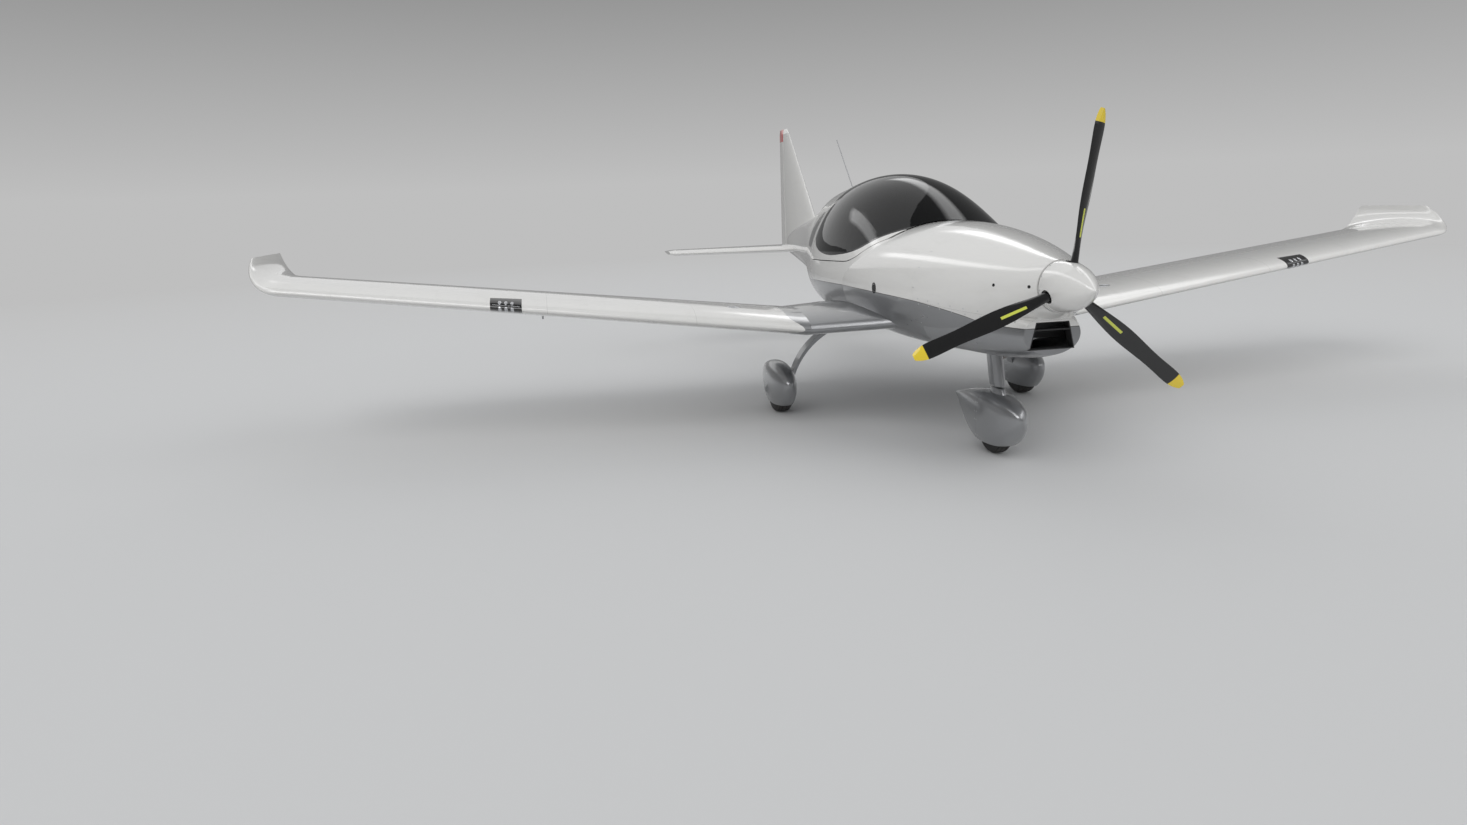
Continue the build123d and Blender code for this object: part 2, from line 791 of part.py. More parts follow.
def make_main_axle(pant_inner):
    """Flange on the leg's foot with the stub axle, at its place on the left."""
    half = main_leg_foot_chord / 2
    plate = block(axle_plate, (main_wheel.station - half, main_wheel.station + half), (130, 250))
    start = point(axle_plate[1], main_wheel.station, main_wheel.radius)
    axle = rod(start, start + Vector(2 * main_wheel.width, 0, 0), axle_radius)
    return (plate + axle) & (Pos(main_wheel.x, 0, 0) * pant_inner)


def on_steering_axis(height):
    station, at_height = steering_point
    return point(0, station + (height - at_height) * tan(radians(steering_rake)), height)


def leg_shape(grow):
    """Faired tube of the nose leg, from the wheel's fairing into the cowling."""
    low, high = on_steering_axis(leg_bottom - 60), on_steering_axis(leg_top)
    plane = Plane(origin=low, x_dir=(1, 0, 0), z_dir=high - low)
    chord, width = leg_fairing
    fairing = plane * extrude(Ellipse(width / 2 + grow, chord / 2 + grow), (high - low).length)
    return fairing & block((-200, 200), (700, 1400), (leg_bottom, leg_fairing_top))


def make_nose_leg():
    tube = rod(on_steering_axis(leg_bottom - 60), on_steering_axis(leg_top), leg_tube_radius)
    tube = tube & between(700, firewall_station, low=leg_bottom)
    head = on_steering_axis(leg_top).Y - aft(0)
    arm = block((-leg_tube_radius, leg_tube_radius), (head, firewall_station), (leg_top - 90, leg_top - 20))
    leg = (leg_shape(0) & between(700, firewall_station)) + tube + arm
    bore = rod(on_steering_axis(leg_bottom - 100), on_steering_axis(leg_top + 60), stem_radius + run_gap)
    return leg - bore


def through_nose_wheel(radius, half_length=200):
    """Rod along the nose wheel's axis."""
    station, height = nose_wheel.station, nose_wheel.radius
    return rod(point(-half_length, station, height), point(half_length, station, height), radius)


def make_nose_fork(pant_inner):
    """Two legs under a crown, with the stem that turns in the nose leg."""
    station, height = nose_wheel.station, nose_wheel.radius
    inside = nose_wheel.width / 2 + fork_gap
    half = inside + fork_plate
    crown = nose_wheel.radius * 2 + fork_crown_gap
    top = crown + fork_crown
    axis_station = on_steering_axis(crown).Y - aft(0)
    outline = Polyline((axis_station - 26, top), (axis_station + 34, top), (station + fork_eye, height),
                       (station - fork_eye, height), close=True)
    fork = through(side_view(outline), half) + through_nose_wheel(fork_eye, half)
    fork -= block((-inside, inside), (station - 300, station + 300), (0, crown))
    stem = rod(on_steering_axis(crown + 4), on_steering_axis(leg_top - 10), stem_radius)
    return (fork & pant_inner) + stem - through_nose_wheel(axle_radius)


def make_nose_axle(pant_outer):
    return (through_nose_wheel(axle_radius) & pant_outer) - through_nose_wheel(tow_bore_radius)


# Cabin

def make_floor():
    floor = between(firewall_station + firewall_thickness, 2750, low=floor_height - 12, high=floor_height)
    return floor & cabin_space


def slab(x_span, foot, length, thickness, rounding=0):
    """Slab that leans back with the seats, its rear face up from its foot."""
    lean = radians(seat_lean)
    plane = Plane(origin=point(sum(x_span) / 2, *foot), x_dir=(1, 0, 0), z_dir=(0, sin(lean), cos(lean)))
    body = Box(x_span[1] - x_span[0], abs(thickness), length)
    if rounding:
        body = fillet(body.edges(), rounding)
    return plane * Pos(0, -thickness / 2, length / 2) * body


def make_bulkhead():
    """Sloping wall behind the seats, with the baggage shelf behind it."""
    station, height = seat_back_foot
    down = (height - floor_height) / cos(radians(seat_lean))
    foot = (station - down * sin(radians(seat_lean)), floor_height)
    wall = slab((-700, 700), foot, down + seat_back_length, -cabin_skin)
    rise = (shelf_height - height) * tan(radians(seat_lean))
    shelf = between(station + rise + 2, cabin_rear, low=shelf_height - cabin_skin, high=shelf_height)
    beside = block((-550, 550), (2000, 3000), (1000, 1600))
    above = canopy_space(canopy_drop + frame_gap, 0) - beside
    room = cabin_space & between(2000, cabin_rear, low=floor_height)
    return ((wall + shelf) & room) - above


def seat_span(side, inset=0):
    edges = sorted((side * (seat_half_gap + inset), side * (seat_half_gap + seat_width - inset)))
    return tuple(edges)


def make_seats(side):
    """Pan, cushion, back cushion and headrest of one seat."""
    lean = radians(seat_lean)
    station, height = seat_back_foot
    rear = station - back_thickness * cos(lean) - seat_gap
    pan = block(seat_span(side, 10), (seat_front + 15, rear), (floor_height, seat_base)) & cabin_space
    base = block(seat_span(side), (seat_front, rear), (seat_base, seat_base + cushion_thickness))
    base = fillet(base.edges(), cushion_thickness * 0.3)
    back = slab(seat_span(side, 15), seat_back_foot, seat_back_length - 10, back_thickness,
                back_thickness * 0.3)
    width, depth, length = headrest_size
    up, back_by = seat_back_length + seat_gap, depth / 2
    foot = (station + up * sin(lean) + back_by * cos(lean), height + up * cos(lean) - back_by * sin(lean))
    middle = side * (seat_half_gap + seat_width / 2 - 15)
    rest = slab((middle - width / 2, middle + width / 2), foot, length, depth, depth * 0.3)
    return pan, base, back, rest


def make_panel():
    """Instrument panel under the rear edge of the deck."""
    board = between(panel_station - 14, panel_station, low=985)
    return board & nose_inner


def make_screens():
    rear = (panel_station, panel_station + 10)
    screens = [block((x - 120, x + 120), rear, (1150, 1310)) for x in (-290, 290)]
    return screens + [block((-75, 75), rear, (1080, 1330))]


def make_console():
    half = console_half_width
    outline = side_view(Polyline((1700, floor_height), (2560, floor_height), (2560, 870), (2150, 850),
                                 (1900, 800), (1700, 780), close=True))
    return through(outline, half)


def make_stick(side):
    station, x = stick_foot
    foot = point(side * x, station, floor_height)
    lean = Vector(0, -sin(radians(6)), cos(radians(6)))
    shaft = rod(foot, foot + lean * stick_length, 11)
    grip = rod(foot + lean * (stick_length - 110), foot + lean * (stick_length + 20), 18)
    boot = Pos(*foot) * Cone(42, 16, 60, align=(Align.CENTER, Align.CENTER, Align.MIN))
    return (shaft + grip + boot) & between(0, overall_length, low=floor_height)


def make_pedals():
    """Two rudder pedals for each seat, on arms from the floor."""
    pedals = []
    for x in [side * place for side in (-1, 1) for place in pedal_places]:
        foot, head = point(x, pedal_station, floor_height), point(x, pedal_station - 30, floor_height + 130)
        plate = Pos(*head) * Rot(-20, 0, 0) * Box(*pedal_size)
        pedals.append((rod(foot, head, 9) + plate) & between(0, overall_length, low=floor_height))
    return pedals


def make_antenna():
    base = Pos(*point(0, antenna_station, 1600)) * Cylinder(24, 90)
    top = point(0, antenna_station, 1640)
    lean = radians(antenna_lean)
    whip = rod(top - Vector(0, 0, 8), top + Vector(0, sin(lean), cos(lean)) * antenna_length, 4)
    return (base - cabin_outer) + whip


def make_lug():
    """Tie-down lug under the left wing, with its bore across the aircraft."""
    section = section_at(wing_panel, lug_x)
    place = section_plane(section).from_local_coords((section.chord * crest_share, 0, 0))
    station, height = place.Y - aft(0), place.Z - crests(section)[1] - lug_drop
    sides = (lug_x - lug_thickness / 2, lug_x + lug_thickness / 2)
    ends = [point(x, station, height) for x in sides]
    root = block(sides, (station - lug_radius, station + lug_radius), (height, height + 3 * lug_radius))
    return rod(*ends, lug_radius) + root - rod(*ends, lug_bore)


def main():
    pieces = {}

    def add(name, *parts):
        solids = [solid for part in parts for solid in part.solids()]
        pieces[name] = Compound(solids) if len(solids) > 1 else solids[0]

    def mirrored(part):
        return mirror(part, about=Plane.YZ)

    upper, lower = make_cowling()
    add("cowling_upper", upper)
    add("cowling_lower", lower)
    add("chin_inlet_grille", make_inlet_grille())
    engine = make_engine()
    add("engine_block", engine)
    add("exhaust_pipe", exhaust_pipe() - engine)
    add("engine_mount", *make_engine_mount())
    add("firewall", make_firewall())
    hub = make_hub()
    add("propeller_hub", hub)
    add("propeller_blades", *make_blades(hub))
    add("spinner", make_spinner())
    cabin, windows = make_body()
    add("fuselage_cabin", cabin)
    add("rear_windows", windows)
    add("tail_cone", make_tail())
    frame, glass = make_canopy()
    add("canopy_frame", frame)
    add("canopy_glass", glass)
    add("canopy_hinge_brackets", *[make_hinge_bracket(side) for side in (-1, 1)])
    wing, tip, light, (flap, aileron) = make_wing()
    lug = make_lug() - wing
    for name, panel in (("wing", wing), ("flap", flap), ("aileron", aileron)):
        add(f"{name}_left", panel)
        add(f"{name}_right", mirrored(panel))
    add("wing_tips", tip, mirrored(tip))
    add("landing_lights", light, mirrored(light))
    add("tie_down_lugs", lug, mirrored(lug))
    fixed, moving = make_stabilizer()
    tube = torque_tube(elevator_start + 20, torque_tube_radius)
    add("stabilizer", fixed, mirrored(fixed))
    add("elevator", moving + mirrored(moving) + tube)
    fin, rudder, beacon = make_fin()
    add("fin", fin)
    add("rudder", rudder)
    add("tail_beacon", beacon)
    add("whip_antenna", make_antenna())

    pant, pant_outer, pant_inner = make_pant(main_pant_rows, main_wheel)
    leg = make_main_leg() - wing
    axle = make_main_axle(pant_inner)
    pant = Pos(main_wheel.x, 0, 0) * pant - leg
    add("main_gear_legs", leg, mirrored(leg))
    add("main_axles", axle, mirrored(axle))
    add("main_wheel_pants", pant, mirrored(pant))
    for side, x in (("left", main_wheel.x), ("right", -main_wheel.x)):
        add(f"{side}_tyre", at_wheel(main_wheel, x) * make_tyre(main_wheel))
        add(f"{side}_rim", at_wheel(main_wheel, x) * make_rim(main_wheel))
    pant, pant_outer, pant_inner = make_pant(nose_pant_rows, nose_wheel)
    axle = make_nose_axle(pant_outer)
    fork = make_nose_fork(pant_inner)
    stem_hole = rod(on_steering_axis(nose_wheel.radius * 2), on_steering_axis(leg_top), stem_radius)
    pant = pant - through_nose_wheel(axle_radius) - stem_hole
    add("nose_leg", make_nose_leg())
    add("nose_fork", fork)
    add("nose_axle", axle)
    add("nose_pant", pant)
    add("nose_tyre", at_wheel(nose_wheel, 0) * make_tyre(nose_wheel))
    add("nose_rim", at_wheel(nose_wheel, 0) * make_rim(nose_wheel))

    add("cabin_floor", make_floor())
    add("rear_bulkhead", make_bulkhead())
    pans, bases, backs, rests = zip(*[make_seats(side) for side in (-1, 1)])
    add("seat_pans", *pans)
    add("seat_cushions", *bases)
    add("seat_backs", *backs)
    add("headrests", *rests)
    add("instrument_panel", make_panel())
    add("panel_screens", *make_screens())
    add("centre_console", make_console())
    add("control_sticks", *[make_stick(side) for side in (-1, 1)])
    add("rudder_pedals", *make_pedals())
    for name, shape in pieces.items():
        export_step(shape, f"parts/{name}.step")


os.makedirs("parts", exist_ok=True)
main()
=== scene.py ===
import bmesh
import bpy
from math import cos, pi, radians, sin, sqrt, tan
from mathutils import Matrix, Vector
from mathutils.bvhtree import BVHTree


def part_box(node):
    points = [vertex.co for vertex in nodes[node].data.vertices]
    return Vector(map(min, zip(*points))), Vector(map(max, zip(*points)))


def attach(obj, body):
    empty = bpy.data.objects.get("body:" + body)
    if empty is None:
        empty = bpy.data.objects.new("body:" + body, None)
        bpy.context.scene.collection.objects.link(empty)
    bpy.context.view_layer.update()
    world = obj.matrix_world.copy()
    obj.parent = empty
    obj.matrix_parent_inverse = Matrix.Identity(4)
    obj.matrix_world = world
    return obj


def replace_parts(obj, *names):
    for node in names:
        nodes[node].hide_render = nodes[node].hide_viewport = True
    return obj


# Two-seat light aircraft on its gear. Metres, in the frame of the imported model: the nose is
# towards -Y, the pilot's left is +X and the origin is on the ground. A station is a distance
# aft of the spinner's tip.
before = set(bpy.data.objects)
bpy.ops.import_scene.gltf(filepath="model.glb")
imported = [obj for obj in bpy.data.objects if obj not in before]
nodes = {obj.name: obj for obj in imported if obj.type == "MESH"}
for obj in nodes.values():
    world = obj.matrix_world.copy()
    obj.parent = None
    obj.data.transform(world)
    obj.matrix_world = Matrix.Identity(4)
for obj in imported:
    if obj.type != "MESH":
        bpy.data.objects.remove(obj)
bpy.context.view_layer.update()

HALF_LENGTH = 3.225
THRUST_HEIGHT = 1.081
PROPELLER_RADIUS, BLADE_COUNT, BLADE_ANGLE = 0.896, 3, radians(9.65)
TIP_PAINT, STRIP_REACH, STRIP_WIDTH = 0.068, (0.255, 0.400), 0.013
FIREWALL = 1.150
COWL_SPLIT = ((0.200, 0.878), (1.200, 0.962))

# Wheels: distance out, station and height of the axle
MAIN_WHEEL = (0.985, 2.580, 0.178)
NOSE_WHEEL = (0.0, 1.024, 0.160)

# Small features. Each number is a station, or what its name says; ports and vent are (station, height)
SKIN_JOINTS, FAIRING_SEAMS = (3.900, 4.650, 5.300), (2.640, 1.078)
WING_JOINTS_OUT, SPARS = (1.70, 2.66), (2.02, 2.68)
LEADING_EDGE, LEADING_SWEEP, SPAR_SWEEP = 1.7064, 0.1048, 0.02
GLOVE_OUT, GLOVE_CURVE, FLAP_SILVER_OUT = 0.985, 0.085, 1.07
TAB_ENDS_OUT, TAB_FRONT, FIN_CAP_HEIGHT = (0.16, 0.72), 6.085, 2.232
COWL_PORTS, SIDE_VENT = ((0.535, 1.083), (0.352, 1.083)), (1.578, 0.996)
FUEL_CAP_OUT, FUEL_CAP = 1.40, 2.16
COVERS_OUT, COVERS = (1.55, 2.55, 3.55), 2.55
LAMP_OUT, LENS_PITCH, WING_RISE = 2.92, 0.039, 0.124

# Colour line along the body, and the edge of the dark glass, as (station, height)
COLOUR_LINE = ((0.20, 0.852), (0.463, 0.854), (0.638, 0.866), (0.739, 0.893), (0.828, 0.913), (0.997, 0.938),
               (1.205, 0.956), (1.454, 0.966), (1.757, 0.973), (2.181, 0.973), (2.713, 0.962), (3.254, 0.942),
               (4.2, 0.950), (6.2, 1.055))
GLASS_LINE = ((1.56, 1.482), (1.70, 1.390), (1.829, 1.310), (1.909, 1.257), (1.984, 1.222), (2.069, 1.201),
              (2.146, 1.188), (2.235, 1.178), (2.349, 1.168), (2.449, 1.164), (2.590, 1.169), (2.700, 1.180),
              (2.805, 1.197), (2.900, 1.222), (2.980, 1.262))

# Wheel fairings: station, half width, top and underside of each section before the flat cut
FAIRING_CUT, FAIRING_WALL = 0.078, 0.004
MAIN_FAIRING = ((2.262, 0.006, 0.252, 0.238), (2.272, 0.028, 0.280, 0.210), (2.305, 0.054, 0.314, 0.155),
                (2.370, 0.080, 0.348, 0.082), (2.470, 0.098, 0.374, 0.030), (2.580, 0.103, 0.384, 0.014),
                (2.720, 0.099, 0.378, 0.026), (2.860, 0.077, 0.350, 0.092), (2.980, 0.044, 0.312, 0.180),
                (3.070, 0.014, 0.282, 0.246), (3.100, 0.004, 0.268, 0.260))
NOSE_FAIRING = ((0.690, 0.006, 0.272, 0.256), (0.700, 0.030, 0.300, 0.228), (0.732, 0.058, 0.328, 0.180),
                (0.795, 0.088, 0.356, 0.110), (0.890, 0.108, 0.377, 0.052), (1.010, 0.115, 0.386, 0.030),
                (1.150, 0.108, 0.378, 0.042), (1.300, 0.084, 0.352, 0.104), (1.450, 0.048, 0.316, 0.190),
                (1.560, 0.016, 0.284, 0.246), (1.605, 0.004, 0.268, 0.258))
STEERING_POINT, STEERING_RAKE = (1.060, 0.600), radians(15)
LEG_CHORD, LEG_WIDTH = 0.170, 0.064

# Seats, as the solids have them
SEAT_MIDDLE, SEAT_WIDTH = 0.285, 0.470
SEAT_FRONT, SEAT_REAR, SEAT_BASE, CUSHION_THICKNESS = 2.110, 2.5745, 0.790, 0.095
BACK_FOOT, SEAT_LEAN, BACK_LENGTH, BACK_THICKNESS = (2.650, 0.800), radians(20), 0.500, 0.080
HEADREST = (0.230, 0.070, 0.150)
PANEL_REAR, CONSOLE_TOP = 1.850, 0.825

# Displays: middle, half width, lower and upper edge
SCREENS = ((-0.290, 0.120, 1.150, 1.310), (0.0, 0.075, 1.080, 1.330), (0.290, 0.120, 1.150, 1.310))

WHITE = (0.76, 0.75, 0.73)
SILVER = (0.30, 0.305, 0.315)
YELLOW, STRIP_YELLOW = (0.80, 0.60, 0.045), (0.62, 0.66, 0.10)
BACKDROP, GLOSS_HORIZON = 0.52, 0.25


def aft(station):
    return station - HALF_LENGTH


# Shader building

class Value:
    """A shader socket; arithmetic on it adds the Math nodes."""

    def __init__(self, finish, socket):
        self.finish, self.socket = finish, socket

    def maths(self, operation, *others, clamp=False):
        sockets = {0: self, **{index + 1: other for index, other in enumerate(others)}}
        return self.finish.add("ShaderNodeMath", {"operation": operation, "use_clamp": clamp}, sockets)

    def flipped(self, operation, other):
        return self.finish.add("ShaderNodeMath", {"operation": operation}, {0: other, 1: self})

    def __add__(self, other):
        return self.maths("ADD", other)

    def __sub__(self, other):
        return self.maths("SUBTRACT", other)

    def __mul__(self, other):
        return self.maths("MULTIPLY", other)

    def __truediv__(self, other):
        return self.maths("DIVIDE", other)

    def __pow__(self, other):
        return self.maths("POWER", other)

    def __rsub__(self, other):
        return self.flipped("SUBTRACT", other)

    def __rtruediv__(self, other):
        return self.flipped("DIVIDE", other)

    __radd__ = __add__
    __rmul__ = __mul__

    def __abs__(self):
        return self.maths("ABSOLUTE")

    def __or__(self, other):
        return self.maths("MAXIMUM", other)

    def above(self, edge, width):
        """0 below the edge and 1 above it, with a soft step of that width."""
        return ((self - edge) / width + 0.5).maths("ADD", 0.0, clamp=True)

    def within(self, middle, half, soft):
        """1 within half of the middle and 0 outside."""
        return 1 - abs(self - middle).above(half, soft)


class Finish:
    """A material, or the world, under construction."""

    def __init__(self, name, world=None):
        self.owner = world or bpy.data.materials.new(name)
        self.owner.use_nodes = True
        self.tree = self.owner.node_tree
        self.tree.nodes.clear()
        self.output = "ShaderNodeOutputWorld" if world else "ShaderNodeOutputMaterial"
        self.position = self.add("ShaderNodeTexCoord", output="Generated" if world else "Object")
        self.axes = None

    def add(self, kind, settings=(), sockets=(), output=0):
        """Adds a node with its settings, then its socket values or links, and returns an output."""
        node = self.tree.nodes.new(kind)
        for name, value in dict(settings).items():
            if name == "points":
                curve = node.mapping.curves[0]
                while len(curve.points) < len(value):
                    curve.points.new(0.5, 0.5)
                for place, spot in zip(curve.points, value):
                    place.location = spot
                node.mapping.update()
            else:
                setattr(node, name, value)
        for name, value in dict(sockets).items():
            socket = node.inputs[name]
            if isinstance(value, Value):
                self.tree.links.new(value.socket, socket)
            elif hasattr(value, "__len__") and len(value) == 3 and socket.type == "RGBA":
                socket.default_value = (*value, 1)
            else:
                socket.default_value = value
        return Value(self, node.outputs[output]) if output is not None else None

    def axis(self, letter):
        if self.axes is None:
            self.axes = {name: self.add("ShaderNodeSeparateXYZ", (), {0: self.position}, name) for name in "XYZ"}
        return self.axes[letter]

    def station(self):
        return self.axis("Y") + HALF_LENGTH

    def noise(self, scale, detail=2.0, roughness=0.5, stretch=None):
        """Noise in object space, from 0 to 1."""
        place = self.position
        if stretch:
            place = self.add("ShaderNodeMapping", (), {"Vector": place, "Scale": stretch})
        return self.add("ShaderNodeTexNoise", (), {"Vector": place, "Scale": scale, "Detail": detail,
                                                   "Roughness": roughness})

    def cells(self, scale, output="Distance", feature="F1"):
        return self.add("ShaderNodeTexVoronoi", {"feature": feature}, {"Vector": self.position, "Scale": scale},
                        output)

    def blend(self, share, first, second, blend_type="MIX"):
        """Mix of two colours."""
        return self.add("ShaderNodeMix", {"data_type": "RGBA", "blend_type": blend_type},
                        {0: share, 6: first, 7: second}, 2)

    def curve(self, value, points):
        """Smooth line through (value, height) points."""
        (x, _), (far, _) = points[0], points[-1]
        low, high = min(y for _, y in points), max(y for _, y in points)
        spots = [((a - x) / (far - x), (b - low) / (high - low)) for a, b in points]
        share = self.add("ShaderNodeFloatCurve", {"points": spots}, {"Value": (value - x) / (far - x)})
        return share * (high - low) + low

    def bump(self, height, distance, strength=1.0):
        return self.add("ShaderNodeBump", (), {"Height": height, "Distance": distance, "Strength": strength})

    def principled(self, **sockets):
        """Principled shader; an underscore in a name stands for a space."""
        named = {name.replace("_", " "): value for name, value in sockets.items()}
        return self.add("ShaderNodeBsdfPrincipled", (), named)

    def surface(self, **sockets):
        return self.finished(self.principled(**sockets))

    def finished(self, shader):
        self.add(self.output, (), {"Surface": shader}, None)
        return self.owner


# Materials

def gloss_coat(finish, silver=0.0, seams=0.0, rivets=0.0):
    """Sprayed paint, white or metallic silver: faint orange peel, flake, dust and rivet heads."""
    cloud = finish.noise(1.6, 3, 0.55)
    dust = finish.noise(26, 5, 0.65)
    streak = finish.noise(7, 3, 0.6, (1.6, 0.20, 1.6))
    flake = finish.add("ShaderNodeSeparateXYZ", (), {0: finish.cells(1900, "Color")}, "X")
    white = finish.blend((cloud - 0.45) * 0.22 + dust * 0.03, WHITE, (0.62, 0.61, 0.58))
    grey = finish.blend(flake * 0.16 + cloud * 0.20, SILVER, (0.46, 0.465, 0.48))
    tone = finish.blend(silver, white, grey)
    tone = finish.blend(streak.above(0.66, 0.25) * 0.07, tone, (0.22, 0.21, 0.19))
    tone = finish.blend(rivets * 0.22, tone, (0.25, 0.25, 0.25))
    tone = finish.blend(seams, tone, (0.03, 0.03, 0.03))
    height = finish.noise(240, 2) * 0.05 - seams - rivets * 0.35
    rough = dust * 0.06 + cloud * 0.05 + streak * 0.03 + silver * 0.10 + 0.12
    return finish.principled(
        Base_Color=tone, Roughness=rough, Metallic=silver * 0.75, Coat_Weight=0.9, Coat_Roughness=0.03,
        Normal=finish.bump(height, 0.0004, 0.6))


def coated(finish, silver=0.0, seams=0.0, rivets=0.0):
    """Material of sprayed paint alone."""
    return finish.finished(gloss_coat(finish, silver, seams, rivets))


def over_line(finish, line):
    """Height over a line along the body."""
    return finish.axis("Z") - finish.curve(finish.station(), line)


def silver_below(finish):
    """1 under the colour line, and a mask of the thin dark line along it."""
    rise = over_line(finish, COLOUR_LINE)
    return 1 - rise.above(0.0, 0.002), rise.within(0.0, 0.0022, 0.002) * 0.75


def repeated(value, pitch):
    """Distance to the nearest multiple of a pitch."""
    return abs((value / pitch).maths("FRACT") - 0.5) * pitch


def any_of(masks):
    """Greatest of some masks."""
    together = 0.0
    for mask in masks:
        together = mask | together
    return together


def gaps(value, places, half, soft):
    """Fine lines at places along a value."""
    return any_of(value.within(place, half, soft) for place in places)


def rivet_rows(along, across, rows, pitch=0.032):
    """Flush rivets every pitch along lines at given places across."""
    dot = repeated(along, pitch)
    return any_of(1 - (dot ** 2 + (across - place) ** 2).above(0.0023 ** 2, 0.0008 ** 2) for place in rows)


def body_paint():
    """White above the colour line; skin joints show as fine lines with rivets beside them."""
    finish = Finish("body_paint")
    station, rise = finish.station(), finish.axis("Z")
    joints = gaps(station, SKIN_JOINTS, 0.0007, 0.0006)
    heads = rivet_rows(rise, station, [place + side * 0.012 for place in SKIN_JOINTS for side in (-1, 1)])
    silver, line = silver_below(finish)
    return coated(finish, silver, joints * 0.5 | line, heads)


def cowl_paint():
    """Lower half of the cowl: silver under the colour line."""
    finish = Finish("cowl_paint")
    return coated(finish, *silver_below(finish))


def wing_paint():
    """White panel whose root glove is silver."""
    finish = Finish("wing_paint")
    out, station = abs(finish.axis("X")), finish.station()
    back = ((station - out * LEADING_SWEEP - LEADING_EDGE) / 0.14).maths("ADD", 0.0, clamp=True)
    edge = (1 - (1 - back) ** 2.4) * GLOVE_CURVE + GLOVE_OUT
    silver = 1 - (out - edge).above(0.0, 0.002)
    joints = gaps(out, WING_JOINTS_OUT, 0.0006, 0.0005)
    spars = rivet_rows(out, station - out * SPAR_SWEEP, SPARS)
    ribs = rivet_rows(station, repeated(out, 0.32), (0.0,))
    heads = (spars | ribs) * out.above(1.10, 0.01) * (1 - out.above(4.05, 0.01))
    return coated(finish, silver, joints * 0.6, heads)


def tail_paint():
    """White; the elevator's trim tab and the fin's cap are outlined by fine gaps."""
    finish = Finish("tail_paint")
    out, station, rise = abs(finish.axis("X")), finish.station(), finish.axis("Z")
    level = 1 - abs(rise - 1.05).above(0.09, 0.01)
    inner, outer = TAB_ENDS_OUT
    tab = gaps(out, TAB_ENDS_OUT, 0.0012, 0.0008) * station.above(TAB_FRONT, 0.002)
    front = station.within(TAB_FRONT, 0.0012, 0.0008) * out.within((inner + outer) / 2, (outer - inner) / 2, 0.002)
    cap = rise.within(FIN_CAP_HEIGHT, 0.0008, 0.0007) * 0.6
    ribs = rivet_rows(station, repeated(out, 0.30), (0.0,)) * level * out.above(0.12, 0.01)
    lines = rivet_rows(station, rise, (1.42, 1.72, 2.00))
    return coated(finish, 0.0, (tab | front) * level * 0.9 | cap, ribs | lines)


def flap_paint():
    """White flap with stiffening ribs; its inner end is silver like the wing's root."""
    finish = Finish("flap_paint")
    out, station = abs(finish.axis("X")), finish.station()
    heads = rivet_rows(station, repeated(out, 0.24), (0.0,))
    return coated(finish, 1 - out.above(FLAP_SILVER_OUT, 0.002), 0.0, heads)


def fairing_paint():
    """Silver wheel fairings in two halves, joined by a fine seam."""
    finish = Finish("fairing_paint")
    return coated(finish, 1.0, gaps(finish.station(), FAIRING_SEAMS, 0.0009, 0.0008) * 0.8)


def mixed(finish, share, first, second):
    """One shader where the share is 0 and another where it is 1."""
    return finish.finished(finish.add("ShaderNodeMixShader", (), {0: share, 1: first, 2: second}))


def dark_glass():
    """Dark tinted acrylic with faint wiping marks; below its line it is painted with the frame."""
    finish = Finish("dark_glass")
    smear = finish.noise(9, 4, 0.7, (1, 0.35, 1))
    tint = finish.blend(smear * 0.3, (0.022, 0.025, 0.031), (0.034, 0.038, 0.045))
    acrylic = finish.principled(Base_Color=tint, Roughness=smear * 0.03 + 0.005, Transmission_Weight=0.95,
                                IOR=1.45, Specular_IOR_Level=0.2)
    below = 1 - over_line(finish, GLASS_LINE).above(0.0, 0.0015)
    painted = below * (1 - finish.station().above(2.985, 0.002))
    return mixed(finish, painted, acrylic, gloss_coat(finish))


def frame_paint():
    """White canopy frame; the strip above the glass line is the acrylic's black border."""
    finish = Finish("frame_paint")
    border = over_line(finish, GLASS_LINE).above(0.0, 0.0015) * (1 - finish.station().above(2.975, 0.002))
    black = finish.principled(Base_Color=(0.006, 0.006, 0.007), Roughness=finish.noise(60) * 0.06 + 0.03,
                              Coat_Weight=1.0, Coat_Roughness=0.02)
    return mixed(finish, border, gloss_coat(finish), black)


def blade_finish():
    """Gloss black blades with yellow tips and a pale strip along each blade near its root."""
    finish = Finish("blade_finish")
    side, rise = finish.axis("X"), finish.axis("Z") - THRUST_HEIGHT
    radius = (side ** 2 + rise ** 2) ** 0.5
    tip = radius.above(PROPELLER_RADIUS - TIP_PAINT, 0.002)
    inner, outer = STRIP_REACH
    strips = []
    for index in range(BLADE_COUNT):
        angle = BLADE_ANGLE + 2 * pi * index / BLADE_COUNT
        along = side * sin(angle) + rise * cos(angle)
        across = side * cos(angle) - rise * sin(angle)
        reach = along.within((inner + outer) / 2, (outer - inner) / 2, 0.0015)
        strips.append(reach * across.within(0.0, STRIP_WIDTH / 2, 0.0012))
    wear = finish.noise(60, 4, 0.6, (1, 1, 0.2))
    tone = finish.blend(wear * 0.05, (0.0075, 0.0075, 0.008), (0.10, 0.10, 0.10))
    tone = finish.blend(tip, tone, YELLOW)
    tone = finish.blend(any_of(strips), tone, STRIP_YELLOW)
    return finish.surface(
        Base_Color=tone, Roughness=wear * 0.08 + 0.04, Specular_IOR_Level=0.4, Coat_Weight=0.8, Coat_Roughness=0.01,
        Normal=finish.bump(finish.noise(90, 2), 0.0001, 0.2))


